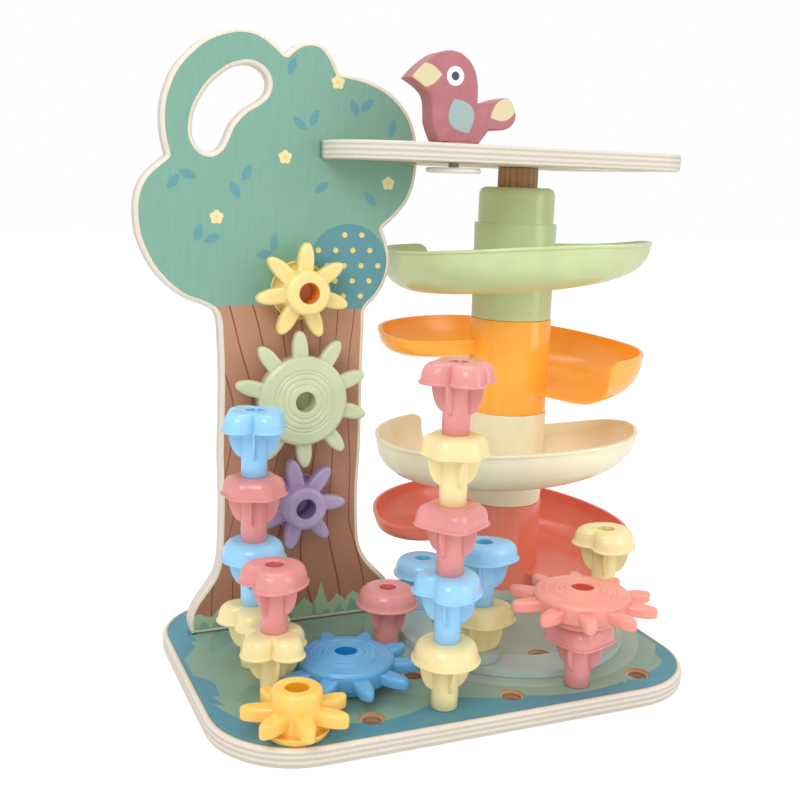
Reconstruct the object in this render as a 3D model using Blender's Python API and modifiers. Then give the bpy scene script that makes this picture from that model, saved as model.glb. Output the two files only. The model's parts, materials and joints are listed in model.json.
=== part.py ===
"""Wooden activity tree for a small child.

A rounded plywood base carries an upright plywood tree, a post with four spiral ball ramps, a shelf with
a bird, turning gears and stacking pegs. Metres, +Z up. The origin is the middle of the underside of the
base, X runs right along its front edge and Y runs to the back.
"""

import math
from dataclasses import dataclass

import bmesh
import bpy
from mathutils import Matrix, Vector

# Fits
GAP = 0.0003
SPIGOT_CLEARANCE = 0.0003
SLOT_CLEARANCE = 0.0003

# Base board
BASE_LENGTH = 0.3288
BASE_WIDTH = 0.2356
BASE_THICKNESS = 0.012
BASE_CORNER = 0.0566
EDGE_ROUND = 0.0028

# Peg holes: a square grid over the base, by column and row from the front left hole
HOLE_PITCH = 0.0472
HOLE_DIAMETER = 0.0113
HOLE_RIM = 0.015
HOLE_RIM_DEPTH = 0.0015
FIRST_HOLE_X = -2.5 * HOLE_PITCH
FIRST_HOLE_Y = -0.0942
HOLES = [(column, row) for row in (0, 1) for column in range(6)] + [(0, 2), (2, 2), (3, 3)]

# Tree panel
PANEL_FRONT_Y = 0.0593
PANEL_THICKNESS = 0.012
PANEL_SCREW_XS = (-0.120, -0.0745, -0.029)

# Shelf that is cross-lapped with the tree
BOARD_LEFT_X = -0.058
BOARD_LENGTH = 0.263
BOARD_FRONT_Y = 0.0
BOARD_WIDTH = 0.172
BOARD_UNDERSIDE_Z = 0.340
BOARD_THICKNESS = 0.012
BOARD_RIGHT_CORNER = 0.028
BOARD_LEFT_CORNER = 0.050
LAP_X = -0.0265
DROP_HOLE_DIAMETER = 0.050
DROP_HOLE_X = 0.158
DROP_HOLE_Y = 0.050

# Ball tower
TOWER_X = 0.108
TOWER_Y = 0.086
MODULE_COUNT = 4
TOWER_HEADROOM = 0.0144
TUBE_RADIUS_TOP = 0.0310
TUBE_RADIUS_FOOT = 0.0303
TUBE_BORE_RADIUS = 0.0288
COUPLER_HEIGHT = 0.0265
TOWER_RISE = BOARD_UNDERSIDE_Z - BASE_THICKNESS - GAP - COUPLER_HEIGHT - TOWER_HEADROOM
MODULE_PITCH = TOWER_RISE / MODULE_COUNT
COUPLER_ROUND = 0.0055
COUPLER_WALL = 0.0022
POST_DIAMETER = 0.0300
POST_CLEARANCE = 0.0008

# Ramp channel of a tower module
RAMP_RIM_RADIUS = 0.101
RAMP_FLOOR_RADIUS = 0.066
RAMP_WALL = 0.0018
RAMP_LIP = 0.0010
RAMP_LIP_HEIGHT = 0.0022
RAMP_START = 187.0
RAMP_SWEEP = 260.0
RAMP_FLOOR_EXIT = 0.0155
RAMP_FLOOR_FALL = 0.0285
RAMP_FLOOR_POWER = 1.7
RAMP_RIM_EXIT = 0.050
RAMP_RIM_FALL = 0.0115
RAMP_RIM_LEVEL_UNTIL = 0.25
RAMP_RIM_RISE_SHARE = 0.42
RAMP_WALL_POWER = 2.4
RAMP_START_ROUND = 0.028
RAMP_START_DROP = 0.006
RAMP_START_DROP_SHARE = 0.14
RAMP_EXIT_ANGLE = 7.0
RAMP_EXIT_DROP = 0.008
RAMP_EXIT_ROUND_SHARE = 0.35
RAMP_END_WALL_ANGLE = 2.0
RAMP_START_ANGLES = (4.5, 8.0, 12.0, 16.5)
RAMP_WALL_SHARES = (0.0, 0.55, 0.88, 1.0)
RAMP_STATIONS = 11

# Ground ring, and the disc round the peg that stands in it
RING_X = FIRST_HOLE_X + 4 * HOLE_PITCH
RING_Y = -0.002
RING_RADIUS = 0.0803
RING_BORE_RADIUS = 0.0555
RING_THICKNESS = 0.005
RING_PEG_CLEARANCE = 0.0008
SPACER_RADIUS = 0.014
SPACER_THICKNESS = 0.0065

# Stacking peg
PEG_HEIGHT = 0.0428
STEM_RADIUS = 0.0083
SPIGOT_LENGTH = 0.010
SOCKET_SPARE = 0.0008
HEAD_RADIUS = 0.0198
LIP_HEIGHT = 0.0302
LIP_THICKNESS = 0.0016
LIP_WIDTH = 0.0014
DOME_SIDE_SHARE = 0.68
DOME_SIDE_INSET = 0.0016
DOME_TOP_INSET = 0.0070
DOME_TOP_KEEP = 0.6
FIN_FOOT = 0.012
FIN_REACH = 0.0165
FIN_ROOT = 0.0078
FIN_THICKNESS = 0.0014

# Gears
GEAR_BORE = 0.0140
GEAR_BORE_FLOOR = 0.0090
GEAR_HUB_ROUND = 0.0022
SMALL_GEAR_HEIGHT = 0.0277
SMALL_GEAR_HUB = 0.0150
SMALL_GEAR_TIP = 0.0326
SMALL_GEAR_TEETH = 7
SMALL_TOOTH_WIDTH = 0.0112
SMALL_TOOTH_FOOT = 0.0080
SMALL_TOOTH_HEIGHT = 0.0086
DISH_RADIUS = 0.0200
DISH_HEIGHT = 0.0042
DISH_FLOOR = 0.0018
DISH_RIM = 0.0012
LARGE_GEAR_HEIGHT = 0.0233
LARGE_GEAR_DISC = 0.0308
LARGE_GEAR_DISC_FOOT = 0.0080
LARGE_GEAR_FACE_FALL = 0.0035
LARGE_GEAR_EDGE_ROUND = 0.0015
LARGE_GEAR_TIP = 0.0476
LARGE_GEAR_TEETH = 10
LARGE_GEAR_COLLAR = 0.0150
LARGE_TOOTH_WIDTH = 0.0118
LARGE_TOOTH_FOOT = 0.0099
LARGE_TOOTH_HEIGHT = 0.0070
TOOTH_SINK = 0.001
TOOTH_RING_WIDTH = 0.004
WALL_GEAR_X = -0.0724
WALL_GEAR_TOP_Z = 0.2523
WALL_GEAR_SPACING = 0.0738

# Bird that slides along the shelf
BIRD_X = 0.0245
BIRD_Y = 0.024
BIRD_THICKNESS = 0.018
BIRD_STEM_DIAMETER = 0.007
BIRD_STEM_INSET = 0.008
BIRD_TRAVEL_LEFT = 0.020
BIRD_TRAVEL_RIGHT = 0.070
BIRD_EDGE_ROUND = 0.0015
BUTTON_DIAMETER = 0.0374
BUTTON_THICKNESS = 0.0035
BUTTON_DROP = 0.0033
BUTTON_EDGE_ROUND = 0.0011

# Wood screws
SCREW_SHANK_DIAMETER = 0.0036
SCREW_HEAD_DIAMETER = 0.0072
SCREW_HEAD_HEIGHT = 0.0024
SCREW_LENGTH = 0.030

# How far a cutting shape runs past the surface it cuts
CUT_OVER = 0.001
CUT_OVER_BOARD = 0.005
CUT_OVER_EDGE = 0.010

# Facets per turn
CORNER_STEPS = 6
RING_FACETS = 36
TUBE_FACETS = 20
POST_FACETS = 12
HOLE_FACETS = 10
GEAR_FACETS = 16
PEG_FACETS = 8
HEAD_FACETS = 20

# Colours (linear red, green, blue)
BIRCH = (0.72, 0.60, 0.44)
BEECH = (0.36, 0.20, 0.11)
BASE_BLUE = (0.10, 0.28, 0.35)
TREE_GREEN = (0.25, 0.46, 0.35)
PALE_BLUE = (0.42, 0.53, 0.53)
PINK = (0.61, 0.21, 0.22)
SKY = (0.19, 0.48, 0.78)
CREAM_YELLOW = (0.83, 0.72, 0.36)
AMBER = (0.93, 0.55, 0.12)
LEAF = (0.55, 0.68, 0.33)
ORANGE = (0.95, 0.40, 0.06)
IVORY = (0.78, 0.74, 0.58)
CORAL = (0.80, 0.28, 0.22)
LILAC = (0.36, 0.24, 0.40)
GEAR_BLUE = (0.08, 0.30, 0.65)
WHITE = (0.80, 0.80, 0.78)
STEEL = (0.55, 0.55, 0.56)


@dataclass(frozen=True)
class Peg:
    """One stacking peg: its hole, its place in the stack, its head and how it is turned, and its colour."""

    name: str
    column: int
    row: int
    level: int
    head: str
    turn: float
    fin_turn: float
    colour: tuple


@dataclass(frozen=True)
class Gear:
    """One gear: its size, where its seat is, the direction of a tooth, and its colour."""

    name: str
    large: bool
    seat: tuple
    tooth_at: float
    upright: bool
    colour: tuple


PEGS = [
    Peg("peg_a1_yellow", 0, 2, 1, "clover", 160.0, 66.0, CREAM_YELLOW),
    Peg("peg_a2_blue", 0, 2, 2, "round", 0.0, 60.0, SKY),
    Peg("peg_a3_pink", 0, 2, 3, "hexagon", 40.0, 67.0, PINK),
    Peg("peg_a4_blue", 0, 2, 4, "clover", 25.0, 73.0, SKY),
    Peg("peg_b1_yellow", 0, 1, 1, "clover", 25.0, 85.0, CREAM_YELLOW),
    Peg("peg_b2_pink", 0, 1, 2, "heart", 15.0, 39.0, PINK),
    Peg("peg_c1_yellow", 2, 0, 1, "round", 0.0, 83.0, CREAM_YELLOW),
    Peg("peg_c2_blue", 2, 0, 2, "heart", 20.0, 55.0, SKY),
    Peg("peg_c3_pink", 2, 0, 3, "square", 75.0, 40.0, PINK),
    Peg("peg_c4_yellow", 2, 0, 4, "hexagon", 40.0, 82.0, CREAM_YELLOW),
    Peg("peg_c5_pink", 2, 0, 5, "clover", 0.0, 42.0, PINK),
    Peg("peg_d1_yellow", 3, 1, 1, "drop", -10.0, 39.0, CREAM_YELLOW),
    Peg("peg_d2_blue", 3, 1, 2, "drop", -10.0, 55.0, SKY),
    Peg("peg_e1_pink", 2, 2, 1, "round", 0.0, 27.0, PINK),
    Peg("peg_f1_blue", 3, 3, 1, "round", 0.0, 45.0, SKY),
    Peg("peg_g1_pink", 4, 0, 1, "square", 63.0, 34.0, PINK),
    Peg("peg_h1_yellow", 5, 1, 1, "round", 0.0, 45.0, CREAM_YELLOW),
    Peg("peg_h2_yellow", 5, 1, 2, "heart", 15.0, 55.0, CREAM_YELLOW),
]


def hole_place(column, row):
    """World X and Y of a peg hole."""
    return (FIRST_HOLE_X + column * HOLE_PITCH, FIRST_HOLE_Y + row * HOLE_PITCH)


def seat_height(level):
    """Height of the seat that a piece at this level stands on, with its gap."""
    return BASE_THICKNESS + GAP + (level - 1) * PEG_HEIGHT


def gear_seat(column, row, level=1):
    """World position of the seat of a gear that stands in a hole or on a peg."""
    x, y = hole_place(column, row)
    return (x, y, seat_height(level))


def wall_seat(place):
    """World position of the seat of a gear on the trunk, from the top one down."""
    return (WALL_GEAR_X, PANEL_FRONT_Y - GAP, WALL_GEAR_TOP_Z - place * WALL_GEAR_SPACING)


GEARS = [
    Gear("gear_base_amber", False, gear_seat(0, 0), 9.4, True, AMBER),
    Gear("gear_base_blue", True, gear_seat(1, 1), 15.9, True, GEAR_BLUE),
    Gear("gear_peg_coral", True, gear_seat(4, 0, 2), -79.8, True, CORAL),
    Gear("gear_wall_yellow", False, wall_seat(0), -68.6, False, CREAM_YELLOW),
    Gear("gear_wall_green", True, wall_seat(1), 93.0, False, LEAF),
    Gear("gear_wall_purple", False, wall_seat(2), 50.3, False, LILAC),
]

MODULES = [
    ("ramp_coral", 0, 0.0, CORAL),
    ("ramp_ivory", 1, 180.0, IVORY),
    ("ramp_orange", 2, 0.0, ORANGE),
    ("ramp_green", 3, 180.0, LEAF),
]

# Tree outline: X and Z, clockwise from the foot of the trunk's left side. Sharp points are the notches.
TREE_OUTLINE = [
    ((-0.1455, None), True),
    ((-0.1473, 0.0190), False),
    ((-0.1450, 0.0310), False),
    ((-0.1370, 0.0430), False),
    ((-0.1292, 0.0550), False),
    ((-0.1262, 0.0720), False),
    ((-0.1262, 0.1400), False),
    ((-0.1266, 0.2290), False),
    ((-0.1300, 0.2385), False),
    ((-0.1480, 0.2465), False),
    ((-0.1640, 0.2590), False),
    ((-0.1762, 0.2780), False),
    ((-0.1812, 0.3000), False),
    ((-0.1768, 0.3225), False),
    ((-0.1605, 0.3385), True),
    ((-0.1638, 0.3560), False),
    ((-0.1600, 0.3825), False),
    ((-0.1453, 0.4040), False),
    ((-0.1240, 0.4172), False),
    ((-0.1008, 0.4186), False),
    ((-0.0820, 0.4060), True),
    ((-0.0710, 0.4138), False),
    ((-0.0560, 0.4127), False),
    ((-0.0452, 0.3965), True),
    ((-0.0240, 0.3930), False),
    ((-0.0005, 0.3800), False),
    ((0.0118, 0.3595), False),
    ((0.0138, 0.3370), False),
    ((0.0070, 0.3123), False),
    ((-0.0108, 0.2940), True),
    ((-0.0052, 0.2780), False),
    ((-0.0060, 0.2620), False),
    ((-0.0145, 0.2460), False),
    ((-0.0218, 0.2385), False),
    ((-0.0227, 0.2290), False),
    ((-0.0229, 0.1400), False),
    ((-0.0229, 0.0720), False),
    ((-0.0185, 0.0580), False),
    ((-0.0095, 0.0465), False),
    ((0.0005, 0.0355), False),
    ((0.0045, 0.0220), False),
    ((0.0035, None), True),
]

TREE_RIGHT_X = max(x for (x, _), _ in TREE_OUTLINE)

HANDLE_OUTLINE = [
    (-0.1435, 0.3560),
    (-0.1400, 0.3450),
    (-0.1320, 0.3412),
    (-0.1250, 0.3460),
    (-0.1190, 0.3590),
    (-0.1080, 0.3705),
    (-0.0975, 0.3775),
    (-0.0940, 0.3870),
    (-0.1000, 0.3953),
    (-0.1110, 0.3967),
    (-0.1250, 0.3895),
    (-0.1370, 0.3760),
]

# Bird outline round its foot: X from its stem and Z above the shelf. Sharp points are the corners.
BIRD_OUTLINE = [
    ((-0.0150, 0.0000), True),
    ((-0.0205, 0.0130), False),
    ((-0.0228, 0.0300), False),
    ((-0.0372, 0.0402), True),
    ((-0.0270, 0.0505), False),
    ((-0.0100, 0.0587), False),
    ((0.0050, 0.0530), False),
    ((0.0112, 0.0400), False),
    ((0.0118, 0.0265), True),
    ((0.0225, 0.0285), False),
    ((0.0345, 0.0308), False),
    ((0.0390, 0.0255), False),
    ((0.0405, 0.0170), False),
    ((0.0330, 0.0105), False),
    ((0.0215, 0.0100), True),
    ((0.0135, 0.0000), True),
]


def clear_scene():
    """Removes every object that the file opened with."""
    for obj in list(bpy.data.objects):
        bpy.data.objects.remove(obj, do_unlink=True)


def collection(name, hidden=False):
    """A collection linked to the scene."""
    made = bpy.data.collections.new(name)
    bpy.context.scene.collection.children.link(made)
    made.hide_render = hidden
    return made


def material(name, colour, roughness, metallic=0.0):
    """A Principled material for one sub-part."""
    made = bpy.data.materials.new(name)
    made.use_nodes = True
    shader = made.node_tree.nodes["Principled BSDF"]
    shader.inputs["Base Color"].default_value = (*colour, 1.0)
    shader.inputs["Roughness"].default_value = roughness
    shader.inputs["Metallic"].default_value = metallic
    made.diffuse_color = (*colour, 1.0)
    return made


def helper(data, name="shape"):
    """An object in the helpers' collection: it shapes parts and is no part itself."""
    obj = bpy.data.objects.new(name, data)
    HELPERS.objects.link(obj)
    obj.hide_render = True
    obj.display_type = "WIRE"
    return obj


def baked(obj):
    """The evaluated mesh of a helper, welded and in its place. The helper is removed."""
    bpy.context.view_layer.update()
    mesh = bpy.data.meshes.new_from_object(obj.evaluated_get(bpy.context.evaluated_depsgraph_get()))
    mesh.transform(obj.matrix_world)
    bpy.data.objects.remove(obj, do_unlink=True)
    shape = bmesh.new()
    shape.from_mesh(mesh)
    bmesh.ops.remove_doubles(shape, verts=shape.verts, dist=1e-6)
    bmesh.ops.dissolve_degenerate(shape, edges=shape.edges, dist=1e-6)
    bmesh.ops.recalc_face_normals(shape, faces=shape.faces)
    shape.to_mesh(mesh)
    shape.free()
    return mesh


def turned(profile, facets, is_bore=False):
    """A turned shape from (radius, height) points down its outer side. A bore's flats keep its radius."""
    mesh = bpy.data.meshes.new("profile")
    closed = profile[0] == profile[-1]
    points = profile[:-1] if closed else profile
    grow = 1.0 / math.cos(math.pi / facets) if is_bore else 1.0
    edges = [(i, i + 1) for i in range(len(points) - 1)]
    if closed:
        edges.append((len(points) - 1, 0))
    mesh.from_pydata([(radius * grow, 0.0, height) for radius, height in points], edges, [])
    obj = helper(mesh)
    screw = obj.modifiers.new("Turn", "SCREW")
    screw.axis = "Z"
    screw.steps = facets
    screw.render_steps = facets
    screw.use_merge_vertices = True
    screw.merge_threshold = 0.00001
    return baked(obj)


def flat_shape(splines, thickness):
    """A plate from 2D outlines, centred on its own plane. An outline is (points, is_smooth flags or None)."""
    curve = bpy.data.curves.new("outline", "CURVE")
    curve.dimensions = "2D"
    curve.fill_mode = "BOTH"
    curve.extrude = thickness / 2
    for points, smooth in splines:
        if smooth is None:
            spline = curve.splines.new("POLY")
            spline.points.add(len(points) - 1)
            for target, (x, y) in zip(spline.points, points):
                target.co = (x, y, 0.0, 1.0)
        else:
            spline = curve.splines.new("BEZIER")
            spline.resolution_u = 2
            spline.bezier_points.add(len(points) - 1)
            for target, (x, y), is_smooth in zip(spline.bezier_points, points, smooth):
                target.co = (x, y, 0.0)
                kind = "AUTO" if is_smooth else "VECTOR"
                target.handle_left_type = kind
                target.handle_right_type = kind
        spline.use_cyclic_u = True
    return baked(helper(curve))


def arc(centre, radius, start, end, steps):
    """Points along an arc, with its angles in degrees."""
    angles = [math.radians(start + (end - start) * i / steps) for i in range(steps + 1)]
    return [(centre[0] + radius * math.cos(a), centre[1] + radius * math.sin(a)) for a in angles]


def rounded_rectangle(left, front, length, width, left_corner, right_corner):
    """Points of a rectangle with round corners, alike at its front and back."""
    right = left + length
    back = front + width
    corners = [
        ((right - right_corner, back - right_corner), right_corner, 0.0),
        ((left + left_corner, back - left_corner), left_corner, 90.0),
        ((left + left_corner, front + left_corner), left_corner, 180.0),
        ((right - right_corner, front + right_corner), right_corner, 270.0),
    ]
    points = []
    for centre, radius, start in corners:
        points += arc(centre, radius, start, start + 90.0, CORNER_STEPS)
    return points


def rounded_edges(mesh, width):
    """The mesh with its square edges eased."""
    obj = helper(mesh)
    bevel = obj.modifiers.new("Round edges", "BEVEL")
    bevel.width = width
    bevel.segments = 1
    bevel.limit_method = "ANGLE"
    bevel.angle_limit = math.radians(50.0)
    return baked(obj)


def combined(mesh, others, operation):
    """The mesh joined with, or cut by, other meshes."""
    obj = helper(mesh)
    tools = []
    for index, other in enumerate(others):
        tool = helper(other)
        tools.append(tool)
        boolean = obj.modifiers.new(f"Step {index}", "BOOLEAN")
        boolean.operation = operation
        boolean.object = tool
    result = baked(obj)
    for tool in tools:
        bpy.data.objects.remove(tool, do_unlink=True)
    return result


def moved(mesh, matrix):
    """A copy of the mesh, moved by a matrix."""
    copy = mesh.copy()
    copy.transform(matrix)
    return copy


def joined(meshes):
    """Separate meshes as one, with no cutting."""
    shape = bmesh.new()
    for mesh in meshes:
        shape.from_mesh(mesh)
    result = bpy.data.meshes.new("group")
    shape.to_mesh(result)
    shape.free()
    return result


def box(low, high):
    """A box between two corners."""
    shape = bmesh.new()
    bmesh.ops.create_cube(shape, size=1.0)
    size = Vector(high) - Vector(low)
    place = Matrix.Translation((Vector(high) + Vector(low)) / 2) @ Matrix.Diagonal((*size, 1.0))
    bmesh.ops.transform(shape, matrix=place, verts=shape.verts)
    result = bpy.data.meshes.new("box")
    shape.to_mesh(result)
    shape.free()
    return result


def loft(sections):
    """A closed body through sections that are equally long rings of points."""
    shape = bmesh.new()
    rings = [[shape.verts.new(point) for point in section] for section in sections]
    for ring, following in zip(rings, rings[1:]):
        for i in range(len(ring)):
            j = (i + 1) % len(ring)
            shape.faces.new((ring[i], ring[j], following[j], following[i]))
    shape.faces.new(rings[0])
    shape.faces.new(rings[-1])
    bmesh.ops.remove_doubles(shape, verts=shape.verts, dist=1e-6)
    bmesh.ops.dissolve_degenerate(shape, edges=shape.edges, dist=1e-6)
    bmesh.ops.recalc_face_normals(shape, faces=shape.faces)
    result = bpy.data.meshes.new("loft")
    shape.to_mesh(result)
    shape.free()
    return result


def part(name, mesh, colour, roughness, location=(0.0, 0.0, 0.0), rotation=(0.0, 0.0, 0.0), metallic=0.0):
    """One named sub-part with its own material."""
    obj = bpy.data.objects.new(name, mesh)
    PARTS.objects.link(obj)
    obj.location = location
    obj.rotation_euler = rotation
    if not mesh.materials:
        mesh.materials.append(None)
    obj.material_slots[0].link = "OBJECT"
    obj.material_slots[0].material = material(name, colour, roughness, metallic)
    mesh.shade_smooth()
    mesh.set_sharp_from_angle(angle=math.radians(35.0))
    return obj


def hole_cutter(depth):
    """A peg hole with its countersunk rim, with the surface it is cut in at height 0."""
    radius = HOLE_DIAMETER / 2
    rim = HOLE_RIM / 2
    slope = (rim - radius) / HOLE_RIM_DEPTH
    profile = [
        (0.0, CUT_OVER),
        (rim + slope * CUT_OVER, CUT_OVER),
        (radius, -HOLE_RIM_DEPTH),
        (radius, -depth),
        (0.0, -depth),
    ]
    return turned(profile, HOLE_FACETS, is_bore=True)


def screw_mesh():
    """A countersunk wood screw with its head's face at height 0 and its shank going up."""
    head = SCREW_HEAD_DIAMETER / 2
    shank = SCREW_SHANK_DIAMETER / 2
    profile = [
        (0.0, SCREW_LENGTH),
        (shank, SCREW_LENGTH - SCREW_SHANK_DIAMETER),
        (shank, SCREW_HEAD_HEIGHT),
        (head, 0.0),
        (0.0, 0.0),
    ]
    return turned(profile, HOLE_FACETS)


def screw_cutter():
    """The room for a screw: its own shape with a gap all round, open below its head."""
    head = SCREW_HEAD_DIAMETER / 2 + GAP
    shank = SCREW_SHANK_DIAMETER / 2 + GAP
    profile = [
        (0.0, SCREW_LENGTH + GAP),
        (shank, SCREW_LENGTH + GAP),
        (shank, SCREW_HEAD_HEIGHT),
        (head, 0.0),
        (head, -CUT_OVER),
        (0.0, -CUT_OVER),
    ]
    return turned(profile, HOLE_FACETS, is_bore=True)


def panel_screw_places():
    """World positions of the heads of the screws that hold the tree."""
    y = PANEL_FRONT_Y + PANEL_THICKNESS / 2
    return [(x, y, GAP) for x in PANEL_SCREW_XS]


def post_foot_screw():
    """World position of the head of the screw under the post."""
    return (TOWER_X, TOWER_Y, GAP)


def post_top_screw():
    """World position of the head of the screw over the post."""
    return (TOWER_X, TOWER_Y, BOARD_UNDERSIDE_Z + BOARD_THICKNESS - GAP)


UPSIDE_DOWN = Matrix.Rotation(math.pi, 4, "X")


def make_base():
    """The base board with its peg holes and screw holes."""
    left = -BASE_LENGTH / 2
    outline = rounded_rectangle(left, -BASE_WIDTH / 2, BASE_LENGTH, BASE_WIDTH, BASE_CORNER, BASE_CORNER)
    board = flat_shape([(outline, None)], BASE_THICKNESS)
    board.transform(Matrix.Translation((0.0, 0.0, BASE_THICKNESS / 2)))
    board = rounded_edges(board, EDGE_ROUND)
    cutter = hole_cutter(BASE_THICKNESS + CUT_OVER)
    tools = []
    for column, row in HOLES:
        x, y = hole_place(column, row)
        tools.append(moved(cutter, Matrix.Translation((x, y, BASE_THICKNESS))))
    for place in [*panel_screw_places(), post_foot_screw()]:
        tools.append(moved(screw_cutter(), Matrix.Translation(place)))
    part("base_board", combined(board, [joined(tools)], "DIFFERENCE"), BASE_BLUE, 0.45)


def make_tree():
    """The upright tree panel with its handle, its gear holes and the slot for the shelf."""
    foot = BASE_THICKNESS + GAP
    points = [(x, foot if z is None else z) for (x, z), _ in TREE_OUTLINE]
    smooth = [not is_sharp for _, is_sharp in TREE_OUTLINE]
    splines = [(points, smooth), (HANDLE_OUTLINE, [True] * len(HANDLE_OUTLINE))]
    panel = rounded_edges(flat_shape(splines, PANEL_THICKNESS), EDGE_ROUND)
    facing = Matrix.Rotation(math.pi / 2, 4, "X")
    panel.transform(Matrix.Translation((0.0, PANEL_FRONT_Y + PANEL_THICKNESS / 2, 0.0)) @ facing)
    tools = []
    for place in range(3):
        x, _, z = wall_seat(place)
        at = Matrix.Translation((x, PANEL_FRONT_Y, z))
        tools.append(moved(hole_cutter(PANEL_THICKNESS + CUT_OVER), at @ facing))
    for place in panel_screw_places():
        tools.append(moved(screw_cutter(), Matrix.Translation(place)))
    front = PANEL_FRONT_Y - CUT_OVER_EDGE
    back = PANEL_FRONT_Y + PANEL_THICKNESS + CUT_OVER_EDGE
    low = (LAP_X - SLOT_CLEARANCE, front, BOARD_UNDERSIDE_Z - SLOT_CLEARANCE)
    high = (TREE_RIGHT_X + CUT_OVER_EDGE, back, BOARD_UNDERSIDE_Z + BOARD_THICKNESS + SLOT_CLEARANCE)
    tools.append(box(low, high))
    part("tree_panel", combined(panel, [joined(tools)], "DIFFERENCE"), TREE_GREEN, 0.45)


def bird_slot_ends():
    """World X of the ends of the slot that the bird's stem slides in."""
    play = BIRD_STEM_DIAMETER / 2 + GAP
    return (BIRD_X - BIRD_TRAVEL_LEFT - play, BIRD_X + BIRD_TRAVEL_RIGHT + play)


def make_board():
    """The shelf with its lap notch, the bird's slot and the hole that drops the ball."""
    corners = (BOARD_LEFT_CORNER, BOARD_RIGHT_CORNER)
    outline = rounded_rectangle(BOARD_LEFT_X, BOARD_FRONT_Y, BOARD_LENGTH, BOARD_WIDTH, *corners)
    board = flat_shape([(outline, None)], BOARD_THICKNESS)
    board.transform(Matrix.Translation((0.0, 0.0, BOARD_UNDERSIDE_Z + BOARD_THICKNESS / 2)))
    board = rounded_edges(board, EDGE_ROUND / 2)
    below = BOARD_UNDERSIDE_Z - CUT_OVER_BOARD
    above = BOARD_UNDERSIDE_Z + BOARD_THICKNESS + CUT_OVER_BOARD
    back = PANEL_FRONT_Y + PANEL_THICKNESS
    tools = [
        box(
            (BOARD_LEFT_X - CUT_OVER_EDGE, PANEL_FRONT_Y - SLOT_CLEARANCE, below),
            (LAP_X + SLOT_CLEARANCE, back + SLOT_CLEARANCE, above),
        )
    ]
    radius = DROP_HOLE_DIAMETER / 2
    drop = turned([(0.0, above), (radius, above), (radius, below), (0.0, below)], TUBE_FACETS)
    tools.append(moved(drop, Matrix.Translation((DROP_HOLE_X, DROP_HOLE_Y, 0.0))))
    play = BIRD_STEM_DIAMETER / 2 + GAP
    left, right = bird_slot_ends()
    slot = arc((left + play, BIRD_Y), play, 90.0, 270.0, CORNER_STEPS)
    slot += arc((right - play, BIRD_Y), play, -90.0, 90.0, CORNER_STEPS)
    slot_tool = flat_shape([(slot, None)], above - below)
    slot_tool.transform(Matrix.Translation((0.0, 0.0, (above + below) / 2)))
    tools.append(slot_tool)
    tools.append(moved(screw_cutter(), Matrix.Translation(post_top_screw()) @ UPSIDE_DOWN))
    part("top_board", combined(board, [joined(tools)], "DIFFERENCE"), BIRCH, 0.5)


def make_post():
    """The round wooden post inside the tower, from the base to the shelf."""
    radius = POST_DIAMETER / 2
    foot = BASE_THICKNESS + GAP
    top = BOARD_UNDERSIDE_Z - GAP
    post = turned([(0.0, top), (radius, top), (radius, foot), (0.0, foot)], POST_FACETS)
    post.transform(Matrix.Translation((TOWER_X, TOWER_Y, 0.0)))
    tools = [
        moved(screw_cutter(), Matrix.Translation(post_foot_screw())),
        moved(screw_cutter(), Matrix.Translation(post_top_screw()) @ UPSIDE_DOWN),
    ]
    part("tower_post", combined(post, [joined(tools)], "DIFFERENCE"), BEECH, 0.55)


def make_screws():
    """The hidden wood screws that hold the tree and the post."""
    mesh = screw_mesh()
    for index, place in enumerate(panel_screw_places(), start=1):
        part(f"panel_screw_{index}", mesh, STEEL, 0.35, place, metallic=1.0)
    part("post_foot_screw", mesh, STEEL, 0.35, post_foot_screw(), metallic=1.0)
    part("post_top_screw", mesh, STEEL, 0.35, post_top_screw(), (math.pi, 0.0, 0.0), metallic=1.0)


def ramp_floor(share):
    """Height of the underside of the channel. The share is 0 at its exit and 1 at its start."""
    return RAMP_FLOOR_EXIT + RAMP_FLOOR_FALL * max(share, 0.0) ** RAMP_FLOOR_POWER


def ramp_rim(share):
    """Height of the rim: it falls through the middle, dips at the start and rounds off at the exit."""
    rise = min(max((share - RAMP_RIM_LEVEL_UNTIL) / RAMP_RIM_RISE_SHARE, 0.0), 1.0)
    height = RAMP_RIM_EXIT + RAMP_RIM_FALL * rise * rise * (3.0 - 2.0 * rise)
    near_start = max(share - 1.0 + RAMP_START_DROP_SHARE, 0.0) / RAMP_START_DROP_SHARE
    height -= RAMP_START_DROP * near_start**2
    from_exit = min(max(share * RAMP_SWEEP / RAMP_EXIT_ANGLE, 0.0), 1.0)
    return height - RAMP_EXIT_DROP * (1.0 - math.sqrt(1.0 - (1.0 - from_exit) ** 2))


def ramp_reach(distance, radius, corner):
    """Radius of the outer wall at a distance along the rim from the start, where the corner is round."""
    short = max(corner - max(distance, 0.0), 0.0)
    return radius - corner + math.sqrt(corner**2 - short**2)


def wall_curve(floor, rim, reach):
    """Points up the channel's bowl-shaped outer wall."""
    points = []
    for along in RAMP_WALL_SHARES:
        up = 1.0 - (1.0 - along**RAMP_WALL_POWER) ** (1.0 / RAMP_WALL_POWER)
        points.append((RAMP_FLOOR_RADIUS + (reach - RAMP_FLOOR_RADIUS) * along, floor + (rim - floor) * up))
    return points


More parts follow.
